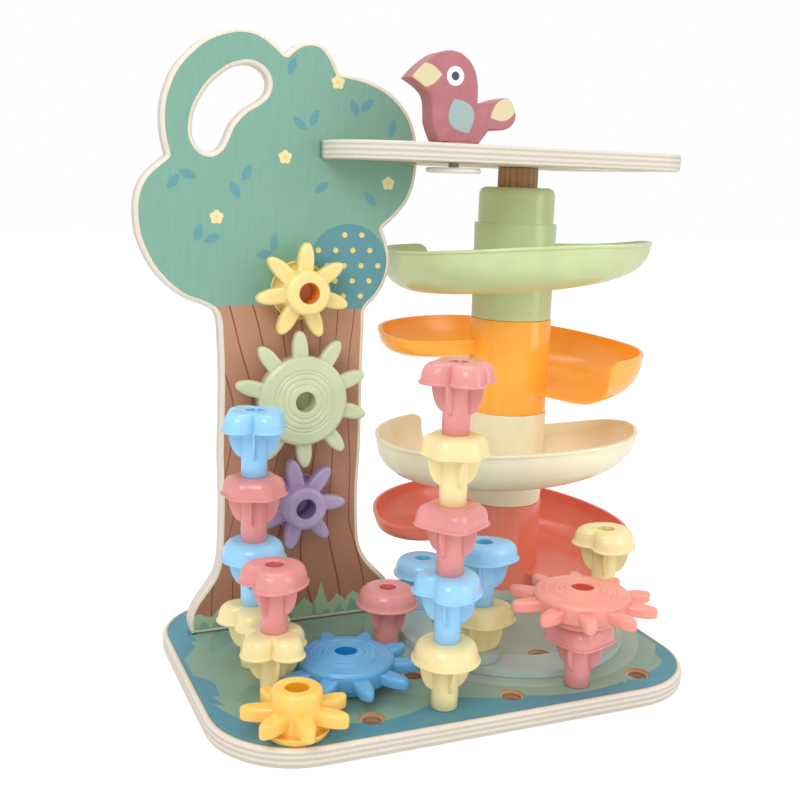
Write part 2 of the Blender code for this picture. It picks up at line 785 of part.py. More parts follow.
def ramp_section(angle, filled):
    """One cross-section of the channel at an angle from its start. A filled one is part of the end wall."""
    share = 1.0 - angle / RAMP_SWEEP
    floor = ramp_floor(share)
    rim = ramp_rim(share)
    root = (TUBE_BORE_RADIUS + TUBE_RADIUS_FOOT) / 2
    outer = ramp_reach(RAMP_RIM_RADIUS * math.radians(angle), RAMP_RIM_RADIUS, RAMP_START_ROUND)
    past_wall = RAMP_RIM_RADIUS * math.radians(angle - RAMP_END_WALL_ANGLE)
    inner = ramp_reach(past_wall, RAMP_RIM_RADIUS - RAMP_WALL, RAMP_START_ROUND - RAMP_WALL)
    under = [(root, floor), *wall_curve(floor, rim - RAMP_LIP_HEIGHT, outer)]
    lip = [(outer + RAMP_LIP, rim - RAMP_LIP_HEIGHT), (outer + RAMP_LIP, rim)]
    inside = [*reversed(wall_curve(floor + RAMP_WALL, rim, inner)), (root, floor + RAMP_WALL)]
    if filled:
        inside = [(radius, rim) for radius, _ in inside]
    turn = math.radians(RAMP_START - angle)
    return [(r * math.cos(turn), r * math.sin(turn), z) for r, z in under + lip + inside]


def ramp_mesh():
    """The open spiral channel, from the end wall at its start to its open exit."""
    first = RAMP_START_ANGLES[-1]
    step = (RAMP_SWEEP - RAMP_EXIT_ANGLE - first) / RAMP_STATIONS
    angles = [RAMP_END_WALL_ANGLE, *RAMP_START_ANGLES]
    angles += [first + step * (i + 1) for i in range(RAMP_STATIONS)]
    angles += [RAMP_SWEEP - RAMP_EXIT_ANGLE * RAMP_EXIT_ROUND_SHARE, RAMP_SWEEP]
    end_wall = [ramp_section(0.0, True), ramp_section(RAMP_END_WALL_ANGLE, True)]
    return loft(end_wall + [ramp_section(angle, False) for angle in angles])


def module_mesh():
    """A tower module: a tube with a coupler on top, and the spiral channel round it."""
    height = MODULE_PITCH - GAP
    coupler = TUBE_BORE_RADIUS - SPIGOT_CLEARANCE
    inside = coupler - COUPLER_WALL
    post_hole = POST_DIAMETER / 2 + POST_CLEARANCE
    top = height + COUPLER_HEIGHT
    shoulder = arc((coupler - COUPLER_ROUND, top - COUPLER_ROUND), COUPLER_ROUND, 90.0, 0.0, 2)
    profile = [
        (post_hole, top),
        *shoulder,
        (coupler, height),
        (TUBE_RADIUS_TOP, height),
        (TUBE_RADIUS_FOOT, 0.0),
        (TUBE_BORE_RADIUS, 0.0),
        (TUBE_BORE_RADIUS, height - COUPLER_WALL),
        (inside, height - COUPLER_WALL),
        (inside, top - COUPLER_ROUND),
        (inside - COUPLER_ROUND + COUPLER_WALL, top - COUPLER_WALL),
        (post_hole, top - COUPLER_WALL),
        (post_hole, top),
    ]
    return combined(turned(profile, TUBE_FACETS), [ramp_mesh()], "UNION")


def make_tower():
    """The four tower modules, each turned half round from the one below."""
    mesh = module_mesh()
    for name, place, turn, colour in MODULES:
        at = (TOWER_X, TOWER_Y, BASE_THICKNESS + GAP + place * MODULE_PITCH)
        part(name, mesh, colour, 0.3, at, (0.0, 0.0, math.radians(turn)))


def make_ring():
    """The flat ring on the base, clear of the tower's foot and of the pegs, and the disc that lies on it."""
    foot = BASE_THICKNESS + GAP
    top = foot + RING_THICKNESS
    profile = [
        (RING_RADIUS, top),
        (RING_RADIUS, foot),
        (RING_BORE_RADIUS, foot),
        (RING_BORE_RADIUS, top),
        (RING_RADIUS, top),
    ]
    ring = turned(profile, RING_FACETS)
    ring.transform(Matrix.Translation((RING_X, RING_Y, 0.0)))
    below = foot - CUT_OVER
    above = top + CUT_OVER
    tower = TUBE_RADIUS_TOP + GAP
    tools = [turned([(0.0, above), (tower, above), (tower, below), (0.0, below)], TUBE_FACETS, is_bore=True)]
    tools[0].transform(Matrix.Translation((TOWER_X, TOWER_Y, 0.0)))
    clear = STEM_RADIUS + RING_PEG_CLEARANCE
    for column, row in ((3, 1), (5, 1), (3, 3)):
        x, y = hole_place(column, row)
        tool = turned([(0.0, above), (clear, above), (clear, below), (0.0, below)], HOLE_FACETS, is_bore=True)
        tools.append(moved(tool, Matrix.Translation((x, y, 0.0))))
    part("ground_ring", combined(ring, tools, "DIFFERENCE"), PALE_BLUE, 0.4)
    disc_foot = top + GAP
    disc_top = disc_foot + SPACER_THICKNESS
    profile = [
        (SPACER_RADIUS, disc_top),
        (SPACER_RADIUS, disc_foot),
        (clear, disc_foot),
        (clear, disc_top),
        (SPACER_RADIUS, disc_top),
    ]
    x, y = hole_place(3, 1)
    part("ring_spacer", turned(profile, PEG_FACETS * 2), PALE_BLUE, 0.4, (x, y, 0.0))


def head_radius(kind, angle):
    """Outline of a peg head under its lip: its radius in a direction, in degrees from its own front."""

    def bump(centre, width):
        away = (angle - centre + 180.0) % 360.0 - 180.0
        return math.exp(-((away / width) ** 2))

    def corners(count, power):
        return (0.5 + 0.5 * math.cos(math.radians(count * angle))) ** power

    shapes = {
        "round": 1.0,
        "clover": 0.70 + 0.44 * corners(4, 0.45),
        "hexagon": 0.91 + 0.10 * corners(6, 1.2),
        "square": 0.90 + 0.20 * corners(4, 1.5),
        "heart": 0.94 + 0.10 * bump(0.0, 40.0) + 0.14 * bump(130.0, 34.0) + 0.14 * bump(-130.0, 34.0)
        - 0.28 * bump(180.0, 20.0),
        "drop": 0.83 + 0.34 * bump(0.0, 34.0),
    }
    return HEAD_RADIUS * shapes[kind]


def head_mesh(kind):
    """A peg's head: a thin lip with a domed cap over it."""
    dome = PEG_HEIGHT - LIP_HEIGHT - LIP_THICKNESS
    levels = [
        (LIP_WIDTH, LIP_HEIGHT, 1.0),
        (LIP_WIDTH, LIP_HEIGHT + LIP_THICKNESS, 1.0),
        (0.0, LIP_HEIGHT + LIP_THICKNESS, 1.0),
        (-DOME_SIDE_INSET, LIP_HEIGHT + LIP_THICKNESS + dome * DOME_SIDE_SHARE, 1.0),
        (-DOME_TOP_INSET, PEG_HEIGHT, DOME_TOP_KEEP),
    ]
    sections = []
    for grow, height, keep in levels:
        ring = []
        for i in range(HEAD_FACETS):
            angle = 360.0 * i / HEAD_FACETS
            radius = HEAD_RADIUS + (head_radius(kind, angle) - HEAD_RADIUS) * keep + grow
            turn = math.radians(angle)
            ring.append((radius * math.cos(turn), radius * math.sin(turn), height))
        sections.append(ring)
    return loft(sections)


def stem_mesh():
    """A peg's stem with the spigot under it."""
    spigot = HOLE_DIAMETER / 2 - SPIGOT_CLEARANCE
    top = LIP_HEIGHT + LIP_THICKNESS / 2
    profile = [
        (0.0, top),
        (STEM_RADIUS, top),
        (STEM_RADIUS, 0.0),
        (spigot, 0.0),
        (spigot, -SPIGOT_LENGTH),
        (0.0, -SPIGOT_LENGTH),
    ]
    return turned(profile, PEG_FACETS)


def fin_mesh():
    """A pair of opposite fins under a peg's head, curving in to the stem."""
    top = LIP_HEIGHT + LIP_THICKNESS / 2
    side = []
    for step in range(4):
        turn = math.radians(30.0 * step)
        radius = FIN_ROOT + (FIN_REACH - FIN_ROOT) * math.sin(turn)
        side.append((radius, top - (top - FIN_FOOT) * math.cos(turn)))
    outline = side + [(-radius, height) for radius, height in reversed(side)]
    fin = flat_shape([(outline, None)], FIN_THICKNESS)
    fin.transform(Matrix.Rotation(math.pi / 2, 4, "X"))
    return fin


def socket_tool():
    """The socket in a peg's top that the next spigot goes into."""
    radius = HOLE_DIAMETER / 2
    floor = PEG_HEIGHT - SPIGOT_LENGTH - SOCKET_SPARE
    above = PEG_HEIGHT + CUT_OVER
    return turned([(0.0, above), (radius, above), (radius, floor), (0.0, floor)], HOLE_FACETS, is_bore=True)


def peg_mesh(kind, fin_turn):
    """A whole peg, with its fins turned by degrees from its head's own front."""
    fins = moved(fin_mesh(), Matrix.Rotation(math.radians(fin_turn), 4, "Z"))
    across = moved(fins, Matrix.Rotation(math.pi / 2, 4, "Z"))
    solid = combined(stem_mesh(), [fins, across, head_mesh(kind)], "UNION")
    return combined(solid, [socket_tool()], "DIFFERENCE")


def make_pegs():
    """Every stacking peg in its hole or on the peg below it."""
    for peg in PEGS:
        x, y = hole_place(peg.column, peg.row)
        at = (x, y, seat_height(peg.level))
        mesh = peg_mesh(peg.head, peg.fin_turn - peg.turn)
        part(peg.name, mesh, peg.colour, 0.3, at, (0.0, 0.0, math.radians(peg.turn)))


def teeth_mesh(count, root, tip, width, foot, height):
    """A ring of petal-shaped teeth, one of them along +X."""
    length = tip - root
    petal = [
        (root, -0.48 * width),
        (root + 0.60 * length, -0.47 * width),
        (tip - 0.06 * length, -0.20 * width),
        (tip, 0.0),
        (tip - 0.06 * length, 0.20 * width),
        (root + 0.60 * length, 0.47 * width),
        (root, 0.48 * width),
    ]
    outline = []
    for tooth in range(count):
        turn = math.radians(360.0 * tooth / count)
        for x, y in petal:
            outline.append((x * math.cos(turn) - y * math.sin(turn), x * math.sin(turn) + y * math.cos(turn)))
    facet = 360.0 / GEAR_FACETS
    inside = arc((0.0, 0.0), root - TOOTH_RING_WIDTH, 0.0, 360.0 - facet, GEAR_FACETS - 1)
    teeth = flat_shape([(outline, None), (inside, None)], height)
    teeth.transform(Matrix.Translation((0.0, 0.0, foot + height / 2)))
    return teeth


def spigot_profile():
    """The foot of a gear's profile: the flat round its spigot, and the spigot."""
    spigot = HOLE_DIAMETER / 2 - SPIGOT_CLEARANCE
    return [(spigot, 0.0), (spigot, -SPIGOT_LENGTH), (0.0, -SPIGOT_LENGTH)]


def small_gear_mesh():
    """The small gear: a tall hub, seven teeth and a shallow dish behind them."""
    bore = GEAR_BORE / 2
    top = SMALL_GEAR_HEIGHT
    profile = [
        (0.0, GEAR_BORE_FLOOR),
        (bore, GEAR_BORE_FLOOR),
        (bore, top),
        (SMALL_GEAR_HUB - GEAR_HUB_ROUND, top),
        (SMALL_GEAR_HUB, top - GEAR_HUB_ROUND),
        (SMALL_GEAR_HUB, DISH_FLOOR),
        (DISH_RADIUS - 1.5 * DISH_RIM, DISH_FLOOR),
        (DISH_RADIUS - DISH_RIM, DISH_HEIGHT),
        (DISH_RADIUS, DISH_HEIGHT),
        (DISH_RADIUS - DISH_RIM, 0.0),
        *spigot_profile(),
    ]
    root = SMALL_GEAR_HUB - TOOTH_SINK
    tooth = (SMALL_TOOTH_WIDTH, SMALL_TOOTH_FOOT, SMALL_TOOTH_HEIGHT)
    teeth = teeth_mesh(SMALL_GEAR_TEETH, root, SMALL_GEAR_TIP, *tooth)
    return combined(turned(profile, GEAR_FACETS), [teeth], "UNION")


def large_gear_mesh():
    """The large gear: a broad disc with a slightly raised face, ten teeth and a collar below."""
    bore = GEAR_BORE / 2
    top = LARGE_GEAR_HEIGHT
    disc = LARGE_GEAR_DISC
    face_edge = top - LARGE_GEAR_FACE_FALL
    profile = [
        (0.0, GEAR_BORE_FLOOR),
        (bore, GEAR_BORE_FLOOR),
        (bore, top),
        (disc - LARGE_GEAR_EDGE_ROUND, face_edge),
        (disc, face_edge - LARGE_GEAR_EDGE_ROUND),
        (disc, LARGE_GEAR_DISC_FOOT),
        (LARGE_GEAR_COLLAR, LARGE_GEAR_DISC_FOOT),
        (LARGE_GEAR_COLLAR, DISH_HEIGHT),
        (DISH_RADIUS, DISH_HEIGHT),
        (DISH_RADIUS - DISH_RIM, 0.0),
        *spigot_profile(),
    ]
    root = disc - TOOTH_SINK
    tooth = (LARGE_TOOTH_WIDTH, LARGE_TOOTH_FOOT, LARGE_TOOTH_HEIGHT)
    teeth = teeth_mesh(LARGE_GEAR_TEETH, root, LARGE_GEAR_TIP, *tooth)
    return combined(turned(profile, GEAR_FACETS), [teeth], "UNION")


def make_gears():
    """Every gear. A gear on the trunk stands out from it, towards the front."""
    meshes = {True: large_gear_mesh(), False: small_gear_mesh()}
    for gear in GEARS:
        rotation = Matrix.Rotation(math.radians(gear.tooth_at), 3, "Z")
        if not gear.upright:
            rotation = Matrix.Rotation(math.pi / 2, 3, "X") @ rotation
        part(gear.name, meshes[gear.large], gear.colour, 0.3, gear.seat, rotation.to_euler())


def make_bird():
    """The bird, its stem through the shelf's slot, and the button that keeps it there."""
    points = [point for point, _ in BIRD_OUTLINE]
    smooth = [not is_sharp for _, is_sharp in BIRD_OUTLINE]
    body = rounded_edges(flat_shape([(points, smooth)], BIRD_THICKNESS), BIRD_EDGE_ROUND)
    body.transform(Matrix.Rotation(math.pi / 2, 4, "X"))
    radius = BIRD_STEM_DIAMETER / 2
    deep = BIRD_STEM_INSET + GAP
    wide = radius + GAP
    room = turned([(0.0, deep), (wide, deep), (wide, -CUT_OVER), (0.0, -CUT_OVER)], HOLE_FACETS, is_bore=True)
    shelf_top = BOARD_UNDERSIDE_Z + BOARD_THICKNESS
    at = (BIRD_X, BIRD_Y, shelf_top + GAP)
    part("bird", combined(body, [room], "DIFFERENCE"), PINK, 0.5, at)
    top = shelf_top + GAP + BIRD_STEM_INSET
    button_top = BOARD_UNDERSIDE_Z - BUTTON_DROP
    foot = button_top + GAP
    stem = turned([(0.0, top), (radius, top), (radius, foot), (0.0, foot)], HOLE_FACETS)
    part("bird_stem", stem, BIRCH, 0.5, (BIRD_X, BIRD_Y, 0.0))
    rim = BUTTON_DIAMETER / 2
    edge = BUTTON_EDGE_ROUND
    profile = [
        (0.0, button_top),
        (rim - edge, button_top),
        (rim, button_top - edge),
        (rim, button_top - BUTTON_THICKNESS + edge),
        (rim - edge, button_top - BUTTON_THICKNESS),
        (0.0, button_top - BUTTON_THICKNESS),
    ]
    part("bird_button", turned(profile, TUBE_FACETS), WHITE, 0.4, (BIRD_X, BIRD_Y, 0.0))


clear_scene()
PARTS = collection("activity_tree")
HELPERS = collection("shaping_helpers", hidden=True)
make_base()
make_tree()
make_board()
make_post()
make_screws()
make_tower()
make_ring()
make_pegs()
make_gears()
make_bird()
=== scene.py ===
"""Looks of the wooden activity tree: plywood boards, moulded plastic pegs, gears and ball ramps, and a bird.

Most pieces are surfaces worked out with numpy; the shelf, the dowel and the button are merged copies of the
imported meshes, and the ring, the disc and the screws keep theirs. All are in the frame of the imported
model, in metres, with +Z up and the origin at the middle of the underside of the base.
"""

import json
import logging
import math
from collections.abc import Callable
from dataclasses import dataclass
from enum import Enum

import bmesh
import bpy
import numpy as np
from mathutils import Matrix

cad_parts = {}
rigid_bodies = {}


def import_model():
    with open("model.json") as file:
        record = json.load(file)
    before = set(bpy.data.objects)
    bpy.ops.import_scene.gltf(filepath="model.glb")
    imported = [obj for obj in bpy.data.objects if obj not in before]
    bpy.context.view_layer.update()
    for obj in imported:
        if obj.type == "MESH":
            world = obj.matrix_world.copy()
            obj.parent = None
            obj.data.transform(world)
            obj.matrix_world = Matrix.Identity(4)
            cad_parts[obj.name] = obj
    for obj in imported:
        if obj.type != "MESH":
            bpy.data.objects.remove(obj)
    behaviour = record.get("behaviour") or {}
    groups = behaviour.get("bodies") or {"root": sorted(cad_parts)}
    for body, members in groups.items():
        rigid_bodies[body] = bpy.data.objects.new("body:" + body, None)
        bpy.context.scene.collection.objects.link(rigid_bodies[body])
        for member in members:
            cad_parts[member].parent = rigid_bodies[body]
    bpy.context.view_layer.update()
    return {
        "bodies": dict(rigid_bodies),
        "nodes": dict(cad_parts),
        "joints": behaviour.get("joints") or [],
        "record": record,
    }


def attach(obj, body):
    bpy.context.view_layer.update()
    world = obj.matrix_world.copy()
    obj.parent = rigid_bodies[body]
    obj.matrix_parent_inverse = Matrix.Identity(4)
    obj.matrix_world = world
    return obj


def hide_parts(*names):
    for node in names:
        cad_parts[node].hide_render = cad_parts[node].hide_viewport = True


LOG = logging.getLogger("activity_tree")
MM = 0.001
WHITE = (1.0, 1.0, 1.0, 1.0)
# Edges and corners that turn by more than this many degrees stay crisp.
CRISP_TURN = 50.0
Socket = bpy.types.NodeSocket


def shares(code: str) -> list[float]:
    """Red, green and blue of an sRGB hex colour, each from 0 to 1."""
    return [int(code[at : at + 2], 16) / 255 for at in (1, 3, 5)]


def linear(code: str) -> tuple[float, float, float, float]:
    """Turns an sRGB hex colour into linear light.

    Args:
        code: The colour as six hex digits after a hash.

    Returns:
        Linear red, green and blue, and an alpha of 1.
    """
    red, green, blue = (v / 12.92 if v <= 0.04045 else ((v + 0.055) / 1.055) ** 2.4 for v in shares(code))
    return (red, green, blue, 1.0)


class Graph:
    """The nodes of a material or a world. One method adds a node, the others are short names for it."""

    def __init__(self, owner: object) -> None:
        """Empties the nodes of a material or a world.

        Args:
            owner: The material or the world.
        """
        owner.use_nodes = True
        self.owner = owner
        self.tree = owner.node_tree
        self.tree.nodes.clear()

    def add(
        self, kind: str, inputs: dict | None = None, out: int | str = 0, **settings: object
    ) -> Socket | None:
        """Adds a node with its settings, values and links.

        Args:
            kind: The node's type without its prefix.
            inputs: Values or other nodes' output sockets, by input name or place.
            out: The output socket to return.
            **settings: Attributes of the node.

        Returns:
            The output socket, or None for the node at the end of the graph.
        """
        node = self.tree.nodes.new("ShaderNode" + kind)
        for key, value in settings.items():
            setattr(node, key, value)
        for key, value in (inputs or {}).items():
            if isinstance(value, Socket):
                self.tree.links.new(value, node.inputs[key])
            else:
                node.inputs[key].default_value = value
        return node.outputs[out] if node.outputs else None

    def place(self) -> Socket:
        """The shaded point's place in the object's own coordinates."""
        return self.add("TexCoord", out="Object")

    def math(self, operation: str, first: object, second: object = 0.0) -> Socket:
        """One step of arithmetic on one or two values."""
        return self.add("Math", {0: first, 1: second}, operation=operation)

    def noise(self, place: Socket, scale: float, detail: float, **more: float) -> Socket:
        """Cloudy noise from 0 to 1, with its scale in clouds per metre."""
        return self.add("TexNoise", {"Vector": place, "Scale": scale, "Detail": detail, **more})

    def stretched(self, scale: tuple[float, float, float]) -> Socket:
        """The point's place, scaled on each axis: noise read there is drawn out where the scale is low."""
        return self.add("Mapping", {"Vector": self.place(), "Scale": scale})

    def carried(self, value: Socket, to: tuple, over: tuple = (0.0, 1.0)) -> Socket:
        """Carries a value that runs over one range to another range, and keeps it in there."""
        limits = {"From Min": over[0], "From Max": over[1], "To Min": to[0], "To Max": to[1]}
        return self.add("MapRange", {"Value": value, **limits})

    def mixed(self, share: object, under: object, over: object, blend: str = "MIX") -> Socket:
        """Lays one colour over another by a share from 0 to 1."""
        inputs = {"Factor": share, 6: under, 7: over}
        return self.add("Mix", inputs, out=2, data_type="RGBA", blend_type=blend)

    def ramp(self, factor: Socket, stops: list[tuple[float, str]], steps: bool = False) -> Socket:
        """Adds a colour ramp.

        Args:
            factor: The value that picks the colour.
            stops: Places from 0 to 1 with their hex colours.
            steps: Whether the colour jumps from stop to stop.

        Returns:
            The socket of the colour.
        """
        colour = self.add("ValToRGB", {"Fac": factor})
        band = colour.node.color_ramp
        band.interpolation = "CONSTANT" if steps else "LINEAR"
        while len(band.elements) < len(stops):
            band.elements.new(1.0)
        for element, (place, code) in zip(band.elements, stops):
            element.position = place
            element.color = linear(code)
        return colour

    def finish(self, shader: Socket) -> object:
        """Links the shader to the surface of the material or world.

        Args:
            shader: The socket of the shader.

        Returns:
            The material or world.
        """
        kind = "OutputWorld" if isinstance(self.owner, bpy.types.World) else "OutputMaterial"
        self.add(kind, {"Surface": shader})
        return self.owner


def material_graph(name: str) -> Graph:
    """The empty graph of a new material."""
    return Graph(bpy.data.materials.new(name))


def satin(graph: Graph, colour: Socket, roughness: float) -> bpy.types.Material:
    """Finishes a material with a satin lacquer in which the wood's pores show faintly.

    Args:
        graph: The material's graph.
        colour: The socket of its colour.
        roughness: The roughness of the lacquer.

    Returns:
        The material.
    """
    pores = graph.noise(graph.place(), 900.0, 2.0)
    bump = graph.add("Bump", {"Height": pores, "Strength": 0.10, "Distance": 0.3 * MM})
    look = {"Base Color": colour, "Roughness": roughness, "Normal": bump, "IOR": 1.5}
    return graph.finish(graph.add("BsdfPrincipled", look))


@dataclass(frozen=True)
class MouldedPlastic:
    """Polished injection-moulded ABS: an even colour, broad soft highlights and a very faint ripple.

    The emission is a painted glow in the plastic's own colour, in place of the studio light that a thin wall
    passes. The bore colour is a painted shade down a bore, given where it isn't worked out from the plastic's
    own.
    """

    colour: str
    shade: str
    roughness: float = 0.20
    painted_glow: float = 0.05
    painted_bore_shade: str = ""

    def with_painted_bore_shade(self) -> "MouldedPlastic":
        """Painted shade of the plastic down a narrow bore: a darker, deeper colour in place of the shade
        there and of light that crosses the plastic many times.

        Each share of red, green and blue becomes 0.93 share ^ (1 + 2.2 (largest share - share)).

        Returns:
            The plastic in its painted bore shade.
        """
        parts = shares(self.colour)
        made = [round(255 * 0.93 * part ** (1.0 + 2.2 * (max(parts) - part))) for part in parts]
        # The painted bore shade: a given colour, or a darker, deeper one worked out from the plastic's own.
        deep = self.painted_bore_shade or "#" + "".join(f"{value:02x}" for value in made)
        return MouldedPlastic(deep, deep, self.roughness, 0.0)

    def material(self, name: str) -> bpy.types.Material:
        """Makes the material.

        Args:
            name: The material's name.

        Returns:
            The material.
        """
        graph = material_graph(name)
        place = graph.place()
        # The colour of the melt drifts over about 25 mm.
        drift = graph.noise(place, 40.0, 2.0)
        colour = graph.ramp(drift, [(0.30, self.shade), (0.62, self.colour)])
        # Tool marks and handling leave the gloss a little uneven.
        wear = graph.noise(place, 160.0, 3.0)
        rough = graph.carried(wear, (self.roughness - 0.04, self.roughness + 0.05))
        ripple = graph.noise(place, 90.0, 1.0)
        look = {
            "Base Color": colour,
            "Roughness": rough,
            "Normal": graph.add("Bump", {"Height": ripple, "Strength": 0.05, "Distance": 0.3 * MM}),
            "IOR": 1.53,
            # Painted glow: an emission in the plastic's own colour, in place of studio light passing through
            # thin walls.
            "Emission Color": colour,
            "Emission Strength": self.painted_glow,
        }
        return graph.finish(graph.add("BsdfPrincipled", look))


class Axis(Enum):
    """The axis that a board's thickness runs along."""

    Y = 1
    Z = 2

    def plane(self) -> list[int]:
        """The two axes of the board's own plane."""
        return [0, 2 if self is Axis.Y else 1]


@dataclass(frozen=True)
class BirchPlywood:
    """Lacquered birch plywood: pale veneer with fine grain on the faces, stripes of plies on the edges."""

    foot: float
    thickness: float
    axis: Axis
    veneer: str = "#e9dcc6"
    veneer_dark: str = "#dccbb0"
    grain_along_x: bool = True
    light_ply: str = "#e4dccf"
    dark_ply: str = "#cfc5b6"

    def colour(self, graph: Graph) -> Socket:
        """Adds the wood's colour to a material.

        Args:
            graph: The material's graph.

        Returns:
            The socket of the colour.
        """
        place = graph.place()
        # Growth rings cut along the log: streaks about 1.5 mm wide and 40 mm long.
        run = graph.stretched((16.0, 420.0, 420.0) if self.grain_along_x else (420.0, 420.0, 16.0))
        grain = graph.noise(run, 1.6, 4.0, Roughness=0.6)
        face = graph.ramp(grain, [(0.35, self.veneer_dark), (0.62, self.veneer)])
        level = graph.add("SeparateXYZ", {"Vector": place}, out=self.axis.value)
        across = graph.carried(level, (0.0, 1.0), (self.foot, self.foot + self.thickness))
        # Seven plies of about 1.7 mm, lengthwise and crosswise in turn.
        starts = (0.0, 0.15, 0.27, 0.42, 0.57, 0.71, 0.84)
        stops = [(start, (self.light_ply, self.dark_ply)[at % 2]) for at, start in enumerate(starts)]
        plies = graph.ramp(across, stops, steps=True)
        fibre = graph.carried(graph.noise(place, 700.0, 2.0), (0.86, 1.06))
        edge = graph.mixed(1.0, plies, fibre, "MULTIPLY")
        facing = graph.add("NewGeometry", out="True Normal")
        flat = graph.add("SeparateXYZ", {"Vector": facing}, out=self.axis.value)
        is_face = graph.math("GREATER_THAN", graph.math("ABSOLUTE", flat), 0.97)
        return graph.mixed(is_face, edge, face)

    def material(self, name: str) -> bpy.types.Material:
        """Makes the material of that name."""
        graph = material_graph(name)
        return satin(graph, self.colour(graph), 0.42)


class Painter:
    """Lays flat shapes of printing ink over a colour, on a plane of the object's own coordinates.

    The places and sizes of discs and leaves are in millimetres.
    """

    def __init__(self, graph: Graph, across: Axis, ground: Socket) -> None:
        """Starts from a ground colour.

        Args:
            graph: The material's graph.
            across: The axis through the printed board.
            ground: The socket of the colour under the print.
        """
        self.graph = graph
        split = graph.add("SeparateXYZ", {"Vector": graph.place()}).node
        self.x, self.up = (split.outputs[axis] for axis in across.plane())
        self.place = graph.add("CombineXYZ", {0: self.x, 1: self.up})
        self.colour = ground

    def lay(self, mask: Socket, ink: Socket | str) -> None:
        """Lays an ink, a hex colour or a colour socket, where the mask is 1."""
        self.colour = self.graph.mixed(mask, self.colour, linear(ink) if isinstance(ink, str) else ink)

    def lay_within(self, mask: Socket, inside: Socket, ink: Socket | str) -> None:
        """Lays an ink where both masks are 1."""
        self.lay(self.graph.math("MULTIPLY", mask, inside), ink)

    def below(self, value: Socket, limit: object) -> Socket:
        """Mask of the places where a value is less than a limit."""
        return self.graph.math("LESS_THAN", value, limit)

    def disc(self, x: float, up: float, radius: float) -> Socket:
        """Mask of a round spot: the distance from its centre is less than its radius."""
        ends = {0: self.place, 1: (x * MM, up * MM, 0.0)}
        return self.below(self.graph.add("VectorMath", ends, out="Value", operation="DISTANCE"), radius * MM)

    def leaf(self, x: float, up: float, length: float, width: float, turn: float) -> Socket:
        """Mask of a pointed leaf: across / half width is less than 1 - (along / half length) squared.

        Args:
            x: Place of its middle along X.
            up: Place of its middle on the other axis of the plane.
            length: Its length.
            width: Its width.
            turn: Direction of its length, in degrees.

        Returns:
            The socket of the mask.
        """
        own = {
            "Vector": self.place,
            "Location": (x * MM, up * MM, 0.0),
            "Rotation": (0.0, 0.0, math.radians(turn)),
            "Scale": (length / 2 * MM, width / 2 * MM, 1.0),
        }
        local = self.graph.add("Mapping", own, vector_type="TEXTURE")
        along, across = self.graph.add("SeparateXYZ", {"Vector": local}).node.outputs[:2]
        squared = self.graph.math("MULTIPLY", along, along)
        return self.below(self.graph.math("ADD", squared, self.graph.math("ABSOLUTE", across)), 1.0)


